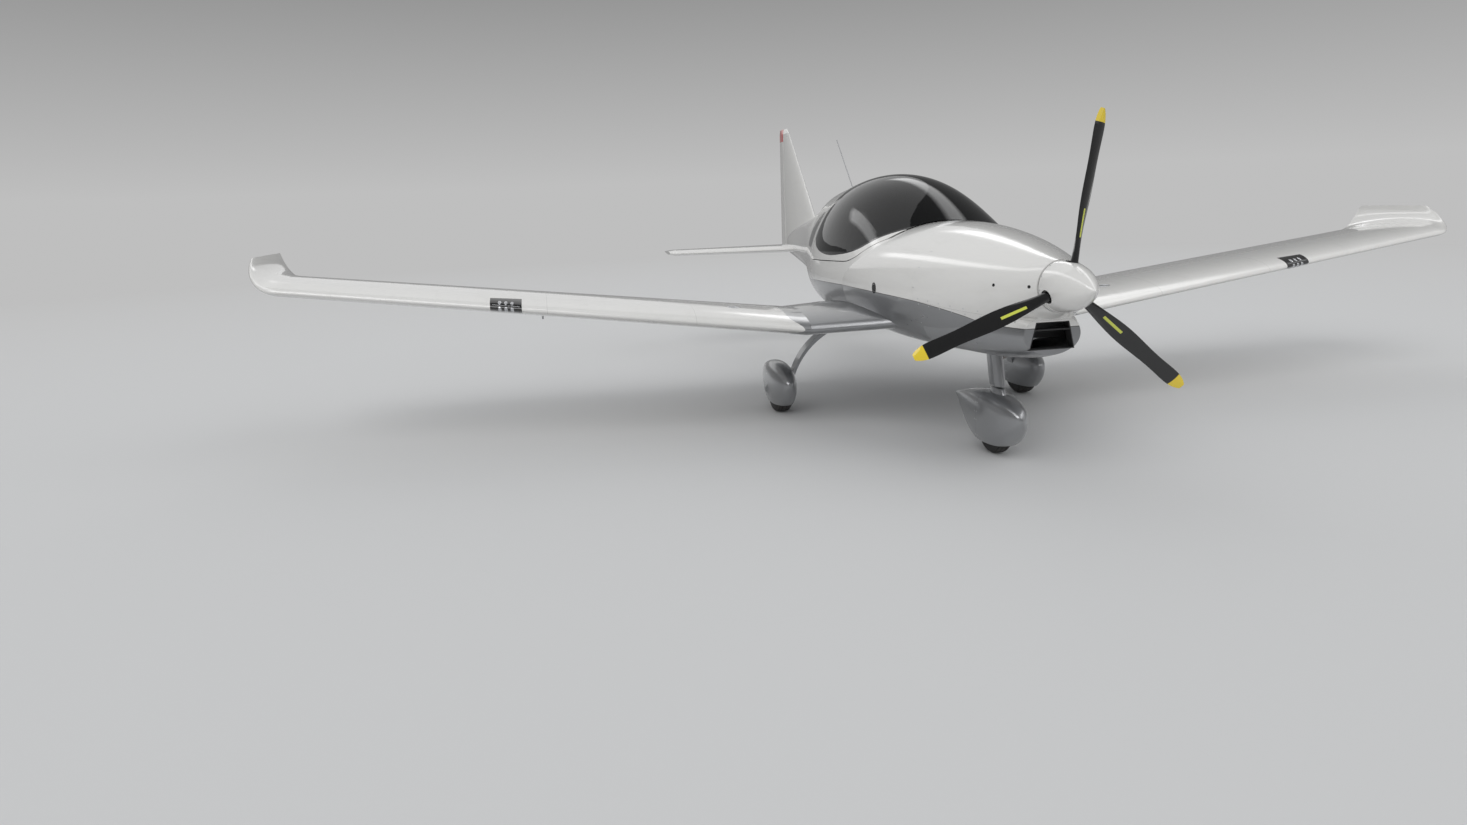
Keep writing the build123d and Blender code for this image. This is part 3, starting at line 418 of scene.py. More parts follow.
def metal(name, colour, roughness, grain=(1, 1, 1), scale=180, metallic=1.0):
    """Worked metal with a fine grain, stains and a worn tone."""
    finish = Finish(name)
    lines = finish.noise(scale, 4, 0.6, grain)
    stain = finish.noise(14, 4, 0.6)
    tone = finish.blend(stain * 0.45, colour, tuple(channel * 0.55 for channel in colour))
    return finish.surface(
        Base_Color=tone, Metallic=metallic, Roughness=lines * 0.18 + stain * 0.12 + roughness - 0.12,
        Normal=finish.bump(lines, 0.0002, 0.5))


def heated_steel():
    """Exhaust pipe: straw and blue bands of heat, sooty at its open end."""
    finish = Finish("heated_steel")
    heat = finish.noise(16, 4, 0.6)
    soot = finish.station().above(1.215, 0.06)
    tone = finish.blend(heat, (0.50, 0.42, 0.33), (0.22, 0.21, 0.27))
    tone = finish.blend(soot * 0.8, tone, (0.03, 0.03, 0.03))
    return finish.surface(Base_Color=tone, Metallic=1.0, Roughness=heat * 0.2 + soot * 0.3 + 0.25,
                          Normal=finish.bump(finish.noise(250, 3), 0.0002, 0.5))


def plastic(name, colour, roughness=0.55, scale=700, depth=0.0002, lift=0.10):
    """Moulded plastic with a leather-like grain and a little dust."""
    finish = Finish(name)
    grain = finish.cells(scale, "Distance", "SMOOTH_F1")
    dust = finish.noise(24, 5, 0.65)
    tone = finish.blend(dust * 0.22, colour, tuple(channel + lift for channel in colour))
    return finish.surface(
        Base_Color=tone, Roughness=dust * 0.16 + grain * 0.10 + roughness - 0.12,
        Normal=finish.bump(grain, depth, 0.6))


def tyre_rubber(name, wheel):
    """Rubber with tread grooves round the tyre, a dusty tread and fine side ribs; the grooves are painted darker
    than the clean rubber, as painted shade in them.
    """
    finish = Finish(name)
    x, station, axle = wheel
    across = abs(abs(finish.axis("X")) - x)
    radius = ((finish.station() - station) ** 2 + (finish.axis("Z") - axle) ** 2) ** 0.5
    tread = radius.above(axle * 0.93, 0.004)
    grooves_painted_dark = across.within(0.014, 0.0025, 0.001) | across.within(0.036, 0.0025, 0.001)
    ribs = (radius * 1600).maths("SINE") * (1 - tread)
    dust = finish.noise(30, 5, 0.7)
    tone = finish.blend(dust * 0.4 + tread * 0.25, (0.016, 0.016, 0.017), (0.085, 0.080, 0.073))
    # painted shade: the tread's grooves are coloured darker than the clean rubber
    tone = finish.blend(grooves_painted_dark * tread, tone, (0.006, 0.006, 0.006))
    height = finish.noise(500, 3) * 0.05 + ribs * 0.04 - grooves_painted_dark * tread
    return finish.surface(Base_Color=tone, Roughness=dust * 0.2 + 0.62, Normal=finish.bump(height, 0.0025, 0.8))


def seat_cloth():
    """Dark woven cloth; the weave is crossed threads in object space."""
    finish = Finish("seat_cloth")
    x, y, z = (finish.axis(letter) for letter in "XYZ")
    weave = (x * 2100).maths("SINE") * ((y + z) * 2100).maths("SINE") * 0.5 + 0.5
    cloud = finish.noise(8, 4, 0.6)
    thread = finish.noise(900, 2)
    tone = finish.blend(weave * 0.6 + thread * 0.3, (0.035, 0.037, 0.042), (0.11, 0.115, 0.125))
    tone = finish.blend(cloud * 0.25, tone, (0.14, 0.14, 0.145))
    return finish.surface(
        Base_Color=tone, Roughness=0.86, Sheen_Weight=0.25, Sheen_Roughness=0.4,
        Normal=finish.bump(weave * 0.7 + thread * 0.5, 0.0004, 0.7))


def webbing():
    """Dark grey belt webbing with ribs across it."""
    finish = Finish("webbing")
    ribs = ((finish.axis("Y") + finish.axis("Z")) * 1500).maths("SINE") * 0.5 + 0.5
    fuzz = finish.noise(700, 3)
    tone = finish.blend(ribs * 0.5 + fuzz * 0.2, (0.05, 0.05, 0.055), (0.13, 0.13, 0.14))
    return finish.surface(Base_Color=tone, Roughness=0.7, Sheen_Weight=0.2,
                          Normal=finish.bump(ribs + fuzz * 0.4, 0.0004, 0.7))


def red_lens():
    finish = Finish("red_lens")
    rib = (finish.axis("Z") * 900).maths("SINE") * 0.5 + 0.5
    tone = finish.blend(rib * 0.4, (0.55, 0.010, 0.008), (0.28, 0.004, 0.004))
    return finish.surface(
        Base_Color=tone, Roughness=0.08, Coat_Weight=1.0, Emission_Color=(0.5, 0.01, 0.01),
        Emission_Strength=0.12, Normal=finish.bump(rib, 0.0004, 0.5))


def gloss_black():
    finish = Finish("gloss_black")
    specks = finish.noise(200, 3)
    return finish.surface(Base_Color=finish.blend(specks * 0.2, (0.007, 0.007, 0.008), (0.022, 0.022, 0.022)),
                          Roughness=specks * 0.08 + 0.06, Coat_Weight=1.0, Coat_Roughness=0.02,
                          Normal=finish.bump(specks, 0.0001, 0.3))


def lamp_lens():
    """Faceted reflector behind clear glass; each facet is painted bright in its middle and dark at its edge, as
    painted glints and painted shade.
    """
    finish = Finish("lamp_lens")
    facets_and_glints = finish.cells(140, "Distance")
    flutes = (finish.axis("X") * 1400).maths("SINE") * 0.5 + 0.5
    # painted glints and shade: facet middles are coloured bright, facet edges dark
    tone = finish.blend(facets_and_glints * 0.7, (0.80, 0.81, 0.83), (0.25, 0.26, 0.28))
    return finish.surface(Base_Color=tone, Metallic=0.85, Roughness=facets_and_glints * 0.15 + 0.08, Coat_Weight=1.0,
                          Coat_Roughness=0.01, Normal=finish.bump(facets_and_glints + flutes * 0.3, 0.0008, 0.7))


def screen_glass():
    """Unlit display: near-black with a faint blue coat."""
    finish = Finish("screen_glass")
    smear = finish.noise(40, 4, 0.6)
    return finish.surface(Base_Color=finish.blend(smear * 0.3, (0.004, 0.005, 0.008), (0.012, 0.014, 0.02)),
                          Roughness=smear * 0.08 + 0.04, Coat_Weight=1.0, Coat_Tint=(0.75, 0.82, 1.0))


white, silver_paint = coated(Finish("gloss_white")), coated(Finish("gloss_silver"), 1.0)
wing_finish, tail_finish, fairing_finish = wing_paint(), tail_paint(), fairing_paint()
black_plastic = plastic("black_plastic", (0.016, 0.016, 0.017))
trim = plastic("cabin_trim", (0.17, 0.17, 0.175), 0.62, 520, 0.0004, 0.05)
glass, black, lens = dark_glass(), gloss_black(), lamp_lens()
alloy = metal("turned_alloy", (0.72, 0.73, 0.75), 0.34, (1, 6, 6))
steel = metal("dull_steel", (0.50, 0.51, 0.52), 0.42)
bright_steel = metal("bright_steel", (0.62, 0.63, 0.64), 0.28, scale=400)
cast = metal("cast_metal", (0.20, 0.20, 0.205), 0.58, scale=320, metallic=0.85)
cloth, belt = seat_cloth(), webbing()

FINISHES = {
    body_paint(): ("fuselage_cabin", "tail_cone"),
    wing_finish: ("wing_left", "wing_right"),
    flap_paint(): ("flap_left", "flap_right"),
    tail_finish: ("stabilizer", "elevator", "fin", "rudder"),
    white: ("cowling_upper", "wing_tips", "aileron_left", "aileron_right", "spinner"),
    frame_paint(): ("canopy_frame",),
    cowl_paint(): ("cowling_lower",),
    fairing_finish: ("main_wheel_pants", "nose_pant"),
    silver_paint: ("main_gear_legs", "nose_leg"),
    glass: ("canopy_glass", "rear_windows"),
    blade_finish(): ("propeller_blades",),
    alloy: ("propeller_hub", "left_rim", "right_rim", "nose_rim", "firewall", "canopy_hinge_brackets"),
    plastic("antenna_rod", (0.36, 0.36, 0.37), 0.42): ("whip_antenna",),
    steel: ("main_axles", "nose_axle", "nose_fork", "engine_mount", "tie_down_lugs"),
    heated_steel(): ("exhaust_pipe",),
    cast: ("engine_block",),
    tyre_rubber("main_tyre_rubber", MAIN_WHEEL): ("left_tyre", "right_tyre"),
    tyre_rubber("nose_tyre_rubber", NOSE_WHEEL): ("nose_tyre",),
    trim: ("cabin_floor", "rear_bulkhead", "seat_pans", "centre_console"),
    black_plastic: ("instrument_panel", "control_sticks", "rudder_pedals", "chin_inlet_grille"),
    screen_glass(): ("panel_screens",),
    red_lens(): ("tail_beacon",),
    black: ("landing_lights",),
}
for material, names in FINISHES.items():
    for name in names:
        slots = nodes[name].data.materials
        slots.clear()
        slots.append(material)


# Mesh building

def new_piece(name, bm, material, body, sharp=40):
    """Object from a finished mesh, riding on a body."""
    bmesh.ops.recalc_face_normals(bm, faces=bm.faces)
    mesh = bpy.data.meshes.new(name)
    bm.to_mesh(mesh)
    bm.free()
    mesh.shade_smooth()
    mesh.set_sharp_from_angle(angle=radians(sharp))
    piece = bpy.data.objects.new(name, mesh)
    bpy.context.scene.collection.objects.link(piece)
    mesh.materials.append(material)
    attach(piece, body)
    return piece


def facing(place, normal, along=(0, 1, 0)):
    """Matrix at a place whose Z is the normal and whose Y is near a direction."""
    up = Vector(normal).normalized()
    across = Vector(along).cross(up).normalized()
    turn = Matrix((across, up.cross(across), up)).transposed().to_4x4()
    return Matrix.Translation(place) @ turn


def angles_round(count, start=0.0):
    """Angles evenly spaced round a circle."""
    return [start + 2 * pi * index / count for index in range(count)]


def add_disc(bm, at, radius, height, top=0.8, segments=20):
    """Low round head whose foot is a little under the surface."""
    depth = height * 1.6
    bmesh.ops.create_cone(bm, cap_ends=True, segments=segments, radius1=radius, radius2=radius * top, depth=depth,
                          matrix=at @ Matrix.Translation((0, 0, height - depth / 2)))


def add_box(bm, at, size, bevel=0.0, segments=2):
    made = bmesh.ops.create_cube(bm, size=1, matrix=at @ Matrix.Diagonal((*size, 1)))
    if bevel:
        edges = {edge for vert in made["verts"] for edge in vert.link_edges}
        bmesh.ops.bevel(bm, geom=list(edges), offset=bevel, segments=segments, affect="EDGES", profile=0.5,
                        material=-1)


def add_turned(bm, at, profile, segments=40):
    """Turned shape about the matrix's Z from (radius, height) points."""
    verts = [bm.verts.new(at @ Vector((radius, 0, height))) for radius, height in profile]
    edges = [bm.edges.new(pair) for pair in zip(verts, verts[1:])]
    bmesh.ops.spin(bm, geom=verts + edges, cent=at.translation, axis=at.to_3x3() @ Vector((0, 0, 1)), angle=2 * pi,
                   steps=segments, use_merge=True)
    bmesh.ops.remove_doubles(bm, verts=bm.verts, dist=1e-6)


def rail(points, ups=None, closed=False):
    """Matrices along a path: Z runs along it and Y is near the up direction of each point."""
    last = len(points) - 1
    places = []
    for index, point in enumerate(points):
        before = points[index - 1] if closed or index else point
        after = points[(index + 1) % len(points)] if closed or index < last else point
        along = (after - before).normalized()
        across = Vector(ups[index] if ups else (0, 0, 1)).cross(along).normalized()
        turn = Matrix((across, along.cross(across), along)).transposed().to_4x4()
        places.append(Matrix.Translation(point) @ turn)
    return places


def add_sweep(bm, places, outline, closed=False):
    """Outline extruded from place to place."""
    verts = [bm.verts.new(places[0] @ Vector((x, y, 0))) for x, y in outline]
    first = rim = [bm.edges.new(pair) for pair in zip(verts, verts[1:] + verts[:1])]
    for place, following in zip(places, places[1:]):
        grown = bmesh.ops.extrude_edge_only(bm, edges=rim)["geom"]
        verts = {item for item in grown if isinstance(item, bmesh.types.BMVert)}
        rim = [item for item in grown if isinstance(item, bmesh.types.BMEdge) and verts.issuperset(item.verts)]
        bmesh.ops.transform(bm, verts=list(verts), matrix=following @ place.inverted())
    if closed:
        bmesh.ops.bridge_loops(bm, edges=first + rim)
    else:
        bmesh.ops.holes_fill(bm, edges=first + rim, sides=0)


def round_outline(radius, segments=8):
    return [(radius * cos(angle), radius * sin(angle)) for angle in angles_round(segments)]


def strap_outline(width, thickness):
    half, deep = width / 2, thickness / 2
    return [(-half, -deep * 0.4), (-half, deep * 0.4), (-half * 0.9, deep), (half * 0.9, deep), (half, deep * 0.4),
            (half, -deep * 0.4), (half * 0.9, -deep), (-half * 0.9, -deep)]


def skin_of(*names):
    """Search tree over the surface of some nodes."""
    places, faces = [], []
    for name in names:
        mesh = nodes[name].data
        first = len(places)
        places += [vert.co.copy() for vert in mesh.vertices]
        faces += [[first + index for index in face.vertices] for face in mesh.polygons]
    return BVHTree.FromPolygons(places, faces)


def landed(tree, start, direction):
    """Where a ray meets a skin, and the normal there, turned to face the ray."""
    place, normal, _, _ = tree.ray_cast(Vector(start), Vector(direction).normalized())
    if place is None:
        return None, None
    if normal.dot(Vector(direction)) > 0:
        normal = -normal
    return place, normal


def seated(skin, start, direction, along=(0, 1, 0)):
    """Matrix where a ray meets a skin, with Z out of it, or None where it misses."""
    place, normal = landed(skin, start, direction)
    return facing(place, normal, along) if place else None


def shaped(bm, *modifiers):
    """The mesh after some modifiers, each a kind and its settings."""
    mesh = bpy.data.meshes.new("blank")
    bm.to_mesh(mesh)
    bm.free()
    blank = bpy.data.objects.new("blank", mesh)
    bpy.context.scene.collection.objects.link(blank)
    for kind, settings in modifiers:
        modifier = blank.modifiers.new(kind, kind)
        for name, value in settings.items():
            setattr(modifier, name, value)
    made = bmesh.new()
    made.from_mesh(blank.evaluated_get(bpy.context.evaluated_depsgraph_get()).data)
    bpy.data.objects.remove(blank)
    return made


# Wheel fairings

def superellipse(power, segments=24):
    """Unit outline, round for a power of 2 and squarer above it."""
    return [[abs(part) ** (2 / power) * (1 if part > 0 else -1) for part in (cos(angle), sin(angle))]
            for angle in angles_round(segments)]


def fairing(rows, x, power):
    """Teardrop shell cut flat under the wheel, with a turned-in lip round the opening."""
    places, turn = [], Matrix.Rotation(pi / 2, 4, "X")
    for station, half, top, low in rows:
        grow = Matrix.Diagonal((half, (top - low) / 2, 1, 1))
        places.append(Matrix.Translation((x, aft(station), (top + low) / 2)) @ turn @ grow)
    bm = bmesh.new()
    add_sweep(bm, places, superellipse(power))
    bmesh.ops.recalc_face_normals(bm, faces=bm.faces)
    bm = shaped(bm, ("SUBSURF", {"levels": 2}))
    cut = bmesh.ops.bisect_plane(bm, geom=bm.verts[:] + bm.edges[:] + bm.faces[:], plane_co=(0, 0, FAIRING_CUT),
                                 plane_no=(0, 0, -1), clear_outer=True)["geom_cut"]
    rim = [item for item in cut if isinstance(item, bmesh.types.BMEdge)]
    floor = bmesh.ops.holes_fill(bm, edges=rim, sides=0)["faces"]
    bmesh.ops.recalc_face_normals(bm, faces=bm.faces)
    bmesh.ops.inset_region(bm, faces=floor, thickness=0.009, use_even_offset=True)
    bmesh.ops.delete(bm, geom=floor, context="FACES")
    return shaped(bm, ("SOLIDIFY", {"thickness": FAIRING_WALL, "offset": -1.0}))


def add_leg_cuff(bm):
    """Foot of the leg's streamlined shape on the nose fairing; it turns just under the leg itself."""
    places = []
    for height, grow in ((0.340, 1.18), (0.372, 1.02), (0.384, 0.97), (0.410, 0.94), (0.412, 0.90)):
        station = STEERING_POINT[0] + (height - STEERING_POINT[1]) * tan(STEERING_RAKE)
        size = Matrix.Diagonal((LEG_WIDTH / 2 * grow, LEG_CHORD / 2 * grow, 1, 1))
        places.append(Matrix.Translation((0, aft(station), height)) @ size)
    add_sweep(bm, places, superellipse(2, 48))


def add_axle_blister(bm, skin, side):
    """Smooth bulge on the outer face of a main fairing, over the end of the axle."""
    _, station, height = MAIN_WHEEL
    place, _ = landed(skin, (side * 1.5, aft(station), height), (-side, 0, 0))
    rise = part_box("main_axles")[1][0] - abs(place.x) + 0.002
    profile = ((0, rise + 0.002), (0.009, rise + 0.0016), (0.0155, rise), (0.0195, rise - 0.004),
               (0.0225, rise * 0.55), (0.027, rise * 0.28), (0.034, rise * 0.10), (0.044, 0.0004), (0.052, -0.003),
               (0, -0.003))
    add_turned(bm, facing(place, (side, 0, 0)), profile, 48)


def make_fairings():
    """Fairings of the main wheels and of the nose wheel, and their skins for what sits on them."""
    pair = fairing(MAIN_FAIRING, MAIN_WHEEL[0], 2.4)
    bmesh.ops.mirror(pair, geom=pair.verts[:] + pair.edges[:] + pair.faces[:], axis="X", merge_dist=-1)
    nose = fairing(NOSE_FAIRING, 0.0, 3.1)
    add_leg_cuff(nose)
    skins = BVHTree.FromBMesh(pair), BVHTree.FromBMesh(nose)
    for side in (-1, 1):
        add_axle_blister(pair, skins[0], side)
    for name, bm, body, node in (("main_fairings", pair, "airframe", "main_wheel_pants"),
                                 ("nose_fairing", nose, "nose_gear", "nose_pant")):
        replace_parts(new_piece(name, bm, fairing_finish, body, 50), node)
    return skins


# Fasteners and small fittings on the outer skin

def split_height(station):
    """Height of the joint between the cowl's halves."""
    (near, low), (far, high) = COWL_SPLIT
    return low + (station - near) * (high - low) / (far - near)


def add_screw(bm, at, radius=0.0033):
    """Low head on its dimpled washer."""
    add_disc(bm, at, radius * 1.5, 0.0003, 0.92)
    add_disc(bm, at, radius, 0.0007, 0.85)


def make_cowl_screws():
    """Rows along the split line and along the rear edge of the cowl."""
    bm = bmesh.new()
    for name, rise in (("cowling_upper", 0.016), ("cowling_lower", -0.016)):
        skin = skin_of(name)
        for side in (-1, 1):
            for index in range(8):
                station = 0.47 + 0.088 * index
                start = (side * 1.2, aft(station), split_height(station) + rise)
                at = seated(skin, start, (-side, 0, 0))
                if at:
                    add_screw(bm, at)
        for index in range(-6, 7):
            angle = radians(14 * index) + (0 if rise > 0 else pi)
            out = Vector((sin(angle), 0, cos(angle)))
            centre = Vector((0, aft(FIREWALL - 0.018), 0.98))
            at = seated(skin, centre + out * 1.2, -out)
            if at and abs(at.translation.z - split_height(FIREWALL)) > 0.03:
                add_screw(bm, at)
    new_piece("cowl_screws", bm, bright_steel, "airframe")


def make_spinner_screws():
    """Screws round the spinner's base, which turn with it."""
    bm = bmesh.new()
    skin = skin_of("spinner")
    middle = Vector((0, aft(0.300), THRUST_HEIGHT))
    for angle in angles_round(12, BLADE_ANGLE + pi / 12):
        out = Vector((sin(angle), 0, cos(angle)))
        at = seated(skin, middle + out * 0.4, -out)
        if at and (at.translation - middle).length > 0.12:
            add_screw(bm, at, 0.0034)
    new_piece("spinner_screws", bm, bright_steel, "propeller")


def make_cowl_ports():
    """Two small black plugs on the starboard side of the cowl's nose."""
    bm = bmesh.new()
    skin = skin_of("cowling_upper", "cowling_lower")
    for station, height in COWL_PORTS:
        at = seated(skin, (-1.0, aft(station), height), (1, 0, 0))
        add_turned(bm, at, ((0, 0.0016), (0.004, 0.0016), (0.0075, 0.0013), (0.009, 0.0004), (0.009, -0.003),
                            (0, -0.003)), 28)
    new_piece("cowl_ports", bm, black, "airframe")


def make_side_vent():
    """Black louvred air vent on the starboard side, on the colour line."""
    station, height = SIDE_VENT
    at = seated(skin_of("fuselage_cabin"), (-1.2, aft(station), height), (1, 0, 0), (0, 0, 1))
    rim, slats = bmesh.new(), bmesh.new()
    ring = [at @ Vector((0.023 * cos(angle), 0.033 * sin(angle), 0.0008)) for angle in angles_round(48)]
    outward = [at.to_3x3() @ Vector((0, 0, 1))] * 48
    add_sweep(rim, rail(ring, outward, True), round_outline(0.0022), closed=True)
    plate = ((0, 0.0004), (0.033, 0.0004), (0.034, -0.004), (0, -0.004))
    add_turned(rim, at @ Matrix.Diagonal((0.66, 1, 1, 1)), plate, 48)
    for index in range(-3, 4):
        half = 0.021 * sqrt(1 - (index / 4) ** 2)
        slat = at @ Matrix.Translation((0, index * 0.0085, 0.0012)) @ Matrix.Rotation(radians(35), 4, "X")
        add_box(slats, slat, (2 * half, 0.006, 0.0012), 0.0003)
    new_piece("side_vent", rim, black, "airframe")
    new_piece("side_vent_slats", slats, black_plastic, "airframe")


def make_fuel_caps():
    """Flush cap with a folding tab on each wing's upper skin."""
    rings, caps = bmesh.new(), bmesh.new()
    for side, name in ((1, "wing_left"), (-1, "wing_right")):
        at = seated(skin_of(name), (side * FUEL_CAP_OUT, aft(FUEL_CAP), 2.0), (0, 0, -1))
        add_turned(rings, at, ((0.030, -0.002), (0.030, 0.0012), (0.033, 0.0020), (0.042, 0.0016),
                               (0.045, 0.0002), (0.045, -0.002)), 56)
        add_turned(caps, at, ((0, 0.0006), (0.020, 0.0006), (0.024, 0.0014), (0.0285, 0.0012), (0.029, -0.002),
                              (0, -0.002)), 56)
        add_box(caps, at @ Matrix.Translation((0, 0, 0.0016)), (0.007, 0.036, 0.0022), 0.0006)
    new_piece("fuel_cap_rings", rings, alloy, "airframe")
    new_piece("fuel_caps", caps, bright_steel, "airframe")


def make_wing_covers():
    """Round inspection covers with screws under each wing."""
    covers, screws = bmesh.new(), bmesh.new()
    for side, name in ((1, "wing_left"), (-1, "wing_right")):
        skin = skin_of(name)
        for out in COVERS_OUT:
            at = seated(skin, (side * out, aft(COVERS), 0.2), (0, 0, 1))
            add_turned(covers, at, ((0, 0.0009), (0.056, 0.0009), (0.058, 0.0004), (0.058, -0.002),
                                    (0, -0.002)), 48)
            for x, y in round_outline(0.048, 6):
                add_screw(screws, at @ Matrix.Translation((x, y, 0.0009)), 0.003)
    new_piece("inspection_covers", covers, white, "airframe")
    new_piece("inspection_cover_screws", screws, bright_steel, "airframe")


def make_fairing_screws(main_skin, nose_skin):
    """Screws beside the seam of each wheel fairing, and an inflation door on each main one."""
    fixed, turning, doors = bmesh.new(), bmesh.new(), bmesh.new()
    out, station, _ = MAIN_WHEEL
    main_seam, nose_seam = FAIRING_SEAMS
    for bm, skin, x, seam, heights in (
            (fixed, main_skin, -out, main_seam, (0.105, 0.165, 0.225, 0.285, 0.340)),
            (fixed, main_skin, out, main_seam, (0.105, 0.165, 0.225, 0.285, 0.340)),
            (turning, nose_skin, 0.0, nose_seam, (0.105, 0.205, 0.255, 0.310))):
        for face in (-1, 1):
            for ahead in (-0.012, 0.012):
                for height in heights:
                    start = (x + face * 0.4, aft(seam + ahead), height)
                    add_screw(bm, seated(skin, start, (-face, 0, 0)), 0.0032)
    for side in (-1, 1):
        at = seated(main_skin, (side * (out + 0.4), aft(station - 0.097), 0.150), (-side, 0, 0))
        add_disc(doors, at, 0.028, 0.0008, 0.96, 40)
    new_piece("fairing_screws", fixed, bright_steel, "airframe")
    new_piece("nose_fairing_screws", turning, bright_steel, "nose_gear")
    new_piece("inflation_doors", doors, fairing_finish, "airframe")


def add_patch(bm, skin, xs, zs, lift, corner=0.3):
    """Pillow laid on a leading edge over a rounded rectangle of x and z."""
    made = bmesh.ops.create_grid(bm, x_segments=12, y_segments=10, size=1)
    for vert in made["verts"]:
        u, v = vert.co.x, vert.co.y
        ease = 1 - corner * max(0, abs(u) + abs(v) - 1) ** 2
        x = (xs[0] + xs[1]) / 2 + (xs[1] - xs[0]) / 2 * u * ease
        z = (zs[0] + zs[1]) / 2 + (zs[1] - zs[0]) / 2 * v * ease
        place, normal = landed(skin, (x, -3.0, z), (0, 1, 0))
        edge = max(abs(u), abs(v))
        vert.co = place + normal * (lift * (1 - max(0, edge - 0.8) * 5) if edge < 0.999 else -0.001)


def make_landing_lenses():
    """Three columns of lenses, low above and tall below, with a bright line between them."""
    lenses, line = bmesh.new(), bmesh.new()
    skin = skin_of("landing_lights")
    low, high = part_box("landing_lights")
    middle = (low[2] + high[2]) / 2
    for side in (-1, 1):
        for index in (-1, 0, 1):
            x = side * (LAMP_OUT + LENS_PITCH * index)
            rise = WING_RISE * LENS_PITCH * index
            span = (x - 0.011, x + 0.011)
            add_patch(lenses, skin, span, (middle + 0.016 + rise, middle + 0.037 + rise), 0.0018, 0.5)
            add_patch(lenses, skin, span, (middle - 0.040 + rise, middle + 0.008 + rise), 0.0018, 0.4)
        hits = []
        for step in range(-8, 9):
            out = 0.01075 * step
            start = (side * (LAMP_OUT + out), -3.0, middle + 0.012 + WING_RISE * out)
            hits.append(landed(skin, start, (0, 1, 0))[0] - Vector((0, 0.0004, 0)))
        add_sweep(line, rail(hits), round_outline(0.0012))
    new_piece("lamp_lenses", lenses, lens, "airframe", 60)
    new_piece("lamp_divider", line, bright_steel, "airframe")


# Cushions

def rounded_block(size, rounding):
    bm = bmesh.new()
    add_box(bm, Matrix.Identity(4), size, rounding, 5)
    return bm


def puffed(bm, cap):
    """Closed form remeshed and blown up as cloth; its flat underside stays where it rests."""
    mesh = bpy.data.meshes.new("pad")
    bm.to_mesh(mesh)
    bm.free()
    pad = bpy.data.objects.new("pad", mesh)
    bpy.context.scene.collection.objects.link(pad)
    remesh = pad.modifiers.new("remesh", "REMESH")
    remesh.mode, remesh.voxel_size = "VOXEL", 0.006
    pad.data = bpy.data.meshes.new_from_object(pad.evaluated_get(bpy.context.evaluated_depsgraph_get()))
    pad.modifiers.clear()
    still = [vert.co.copy() for vert in pad.data.vertices]
    base = min(place.z for place in still) + 0.004
    group = pad.vertex_groups.new(name="rests")
    group.add([index for index, place in enumerate(still) if place.z < base], 1.0, "REPLACE")
    cloth_sim = pad.modifiers.new("cloth", "CLOTH")
    settings = cloth_sim.settings
    settings.use_pressure, settings.uniform_pressure_force = True, 4.0
    settings.vertex_group_mass = "rests"
    settings.effector_weights.gravity = 0.0
    for step in range(1, 21):
        bpy.context.scene.frame_set(step)
    blown = pad.evaluated_get(bpy.context.evaluated_depsgraph_get()).data
    for vert, moved, home in zip(pad.data.vertices, [v.co.copy() for v in blown.vertices], still):
        shift = moved - home
        vert.co = home + shift * min(1.0, cap / max(shift.length, 1e-9))
    pad.modifiers.clear()
    bpy.context.scene.frame_set(1)
    made = bmesh.new()
    made.from_mesh(pad.data)
    bpy.data.objects.remove(pad)
    bmesh.ops.subdivide_edges(made, edges=made.edges, cuts=1, use_grid_fill=True, smooth=0.6)
    return made


def sew(bm, seams, depth=0.007, width=0.008):
    """Presses sewn channels into the upper face; a seam is an axis, its place and its reach."""
    for vert in bm.verts:
        if vert.co.z < 0:
            continue
        for axis, place, reach in seams:
            along = abs(vert.co[1 - axis])
            away = abs(vert.co[axis] - place)
            fade = min(1.0, max(0.0, (reach - along) / 0.03))
            vert.co.z -= depth * fade / (1 + (away / width) ** 4)


def piping(bm, size, height, radius=0.0035):
    """Loop where the pad's side meets its upper face, found from inside the pad."""
    tree = BVHTree.FromBMesh(bm)
    loop = []
    for angle in angles_round(96):
        out = Vector((size[0] * cos(angle), size[1] * sin(angle), 0)).normalized()
        place, _, _, _ = tree.ray_cast(Vector((0, 0, height)), out)
        if place:
            loop.append(place)
    tube = bmesh.new()
    add_sweep(tube, rail(loop, closed=True), round_outline(radius), closed=True)
    return tube


# Pads: size, sewn channels (axis, place, reach) and how far the cloth may move
PADS = {
    "seat_cushion": ((SEAT_WIDTH, SEAT_REAR - SEAT_FRONT, CUSHION_THICKNESS), (
        (0, -0.12, 0.20), (0, 0.12, 0.20), (1, 0.10, 0.115)), 0.010),
    "seat_back": ((0.440, BACK_LENGTH - 0.010, BACK_THICKNESS), (
        (0, -0.12, 0.21), (0, 0.12, 0.21), (1, -0.08, 0.115), (1, 0.12, 0.115)), 0.009),
    "headrest": ((HEADREST[0], HEADREST[2], HEADREST[1]), ((1, 0.0, 0.09),), 0.007),
}


def pad_place(name):
    """Matrix of a left pad: its Z is the face that is sat on or leaned on, its Y runs up the seat."""
    lean = Matrix.Rotation(pi / 2 - SEAT_LEAN, 4, "X")
    station, height = BACK_FOOT
    back = Matrix.Translation((SEAT_MIDDLE, aft(station), height)) @ lean
    if name == "seat_cushion":
        middle = (SEAT_FRONT + SEAT_REAR) / 2
        return Matrix.Translation((SEAT_MIDDLE, aft(middle), SEAT_BASE + CUSHION_THICKNESS / 2))
    if name == "seat_back":
        return back @ Matrix.Translation((0, BACK_LENGTH / 2 - 0.005, BACK_THICKNESS / 2))
    rest_foot = Vector((-0.015, BACK_LENGTH + 0.0003 + HEADREST[2] / 2, 0))
    return back @ Matrix.Translation(rest_foot)


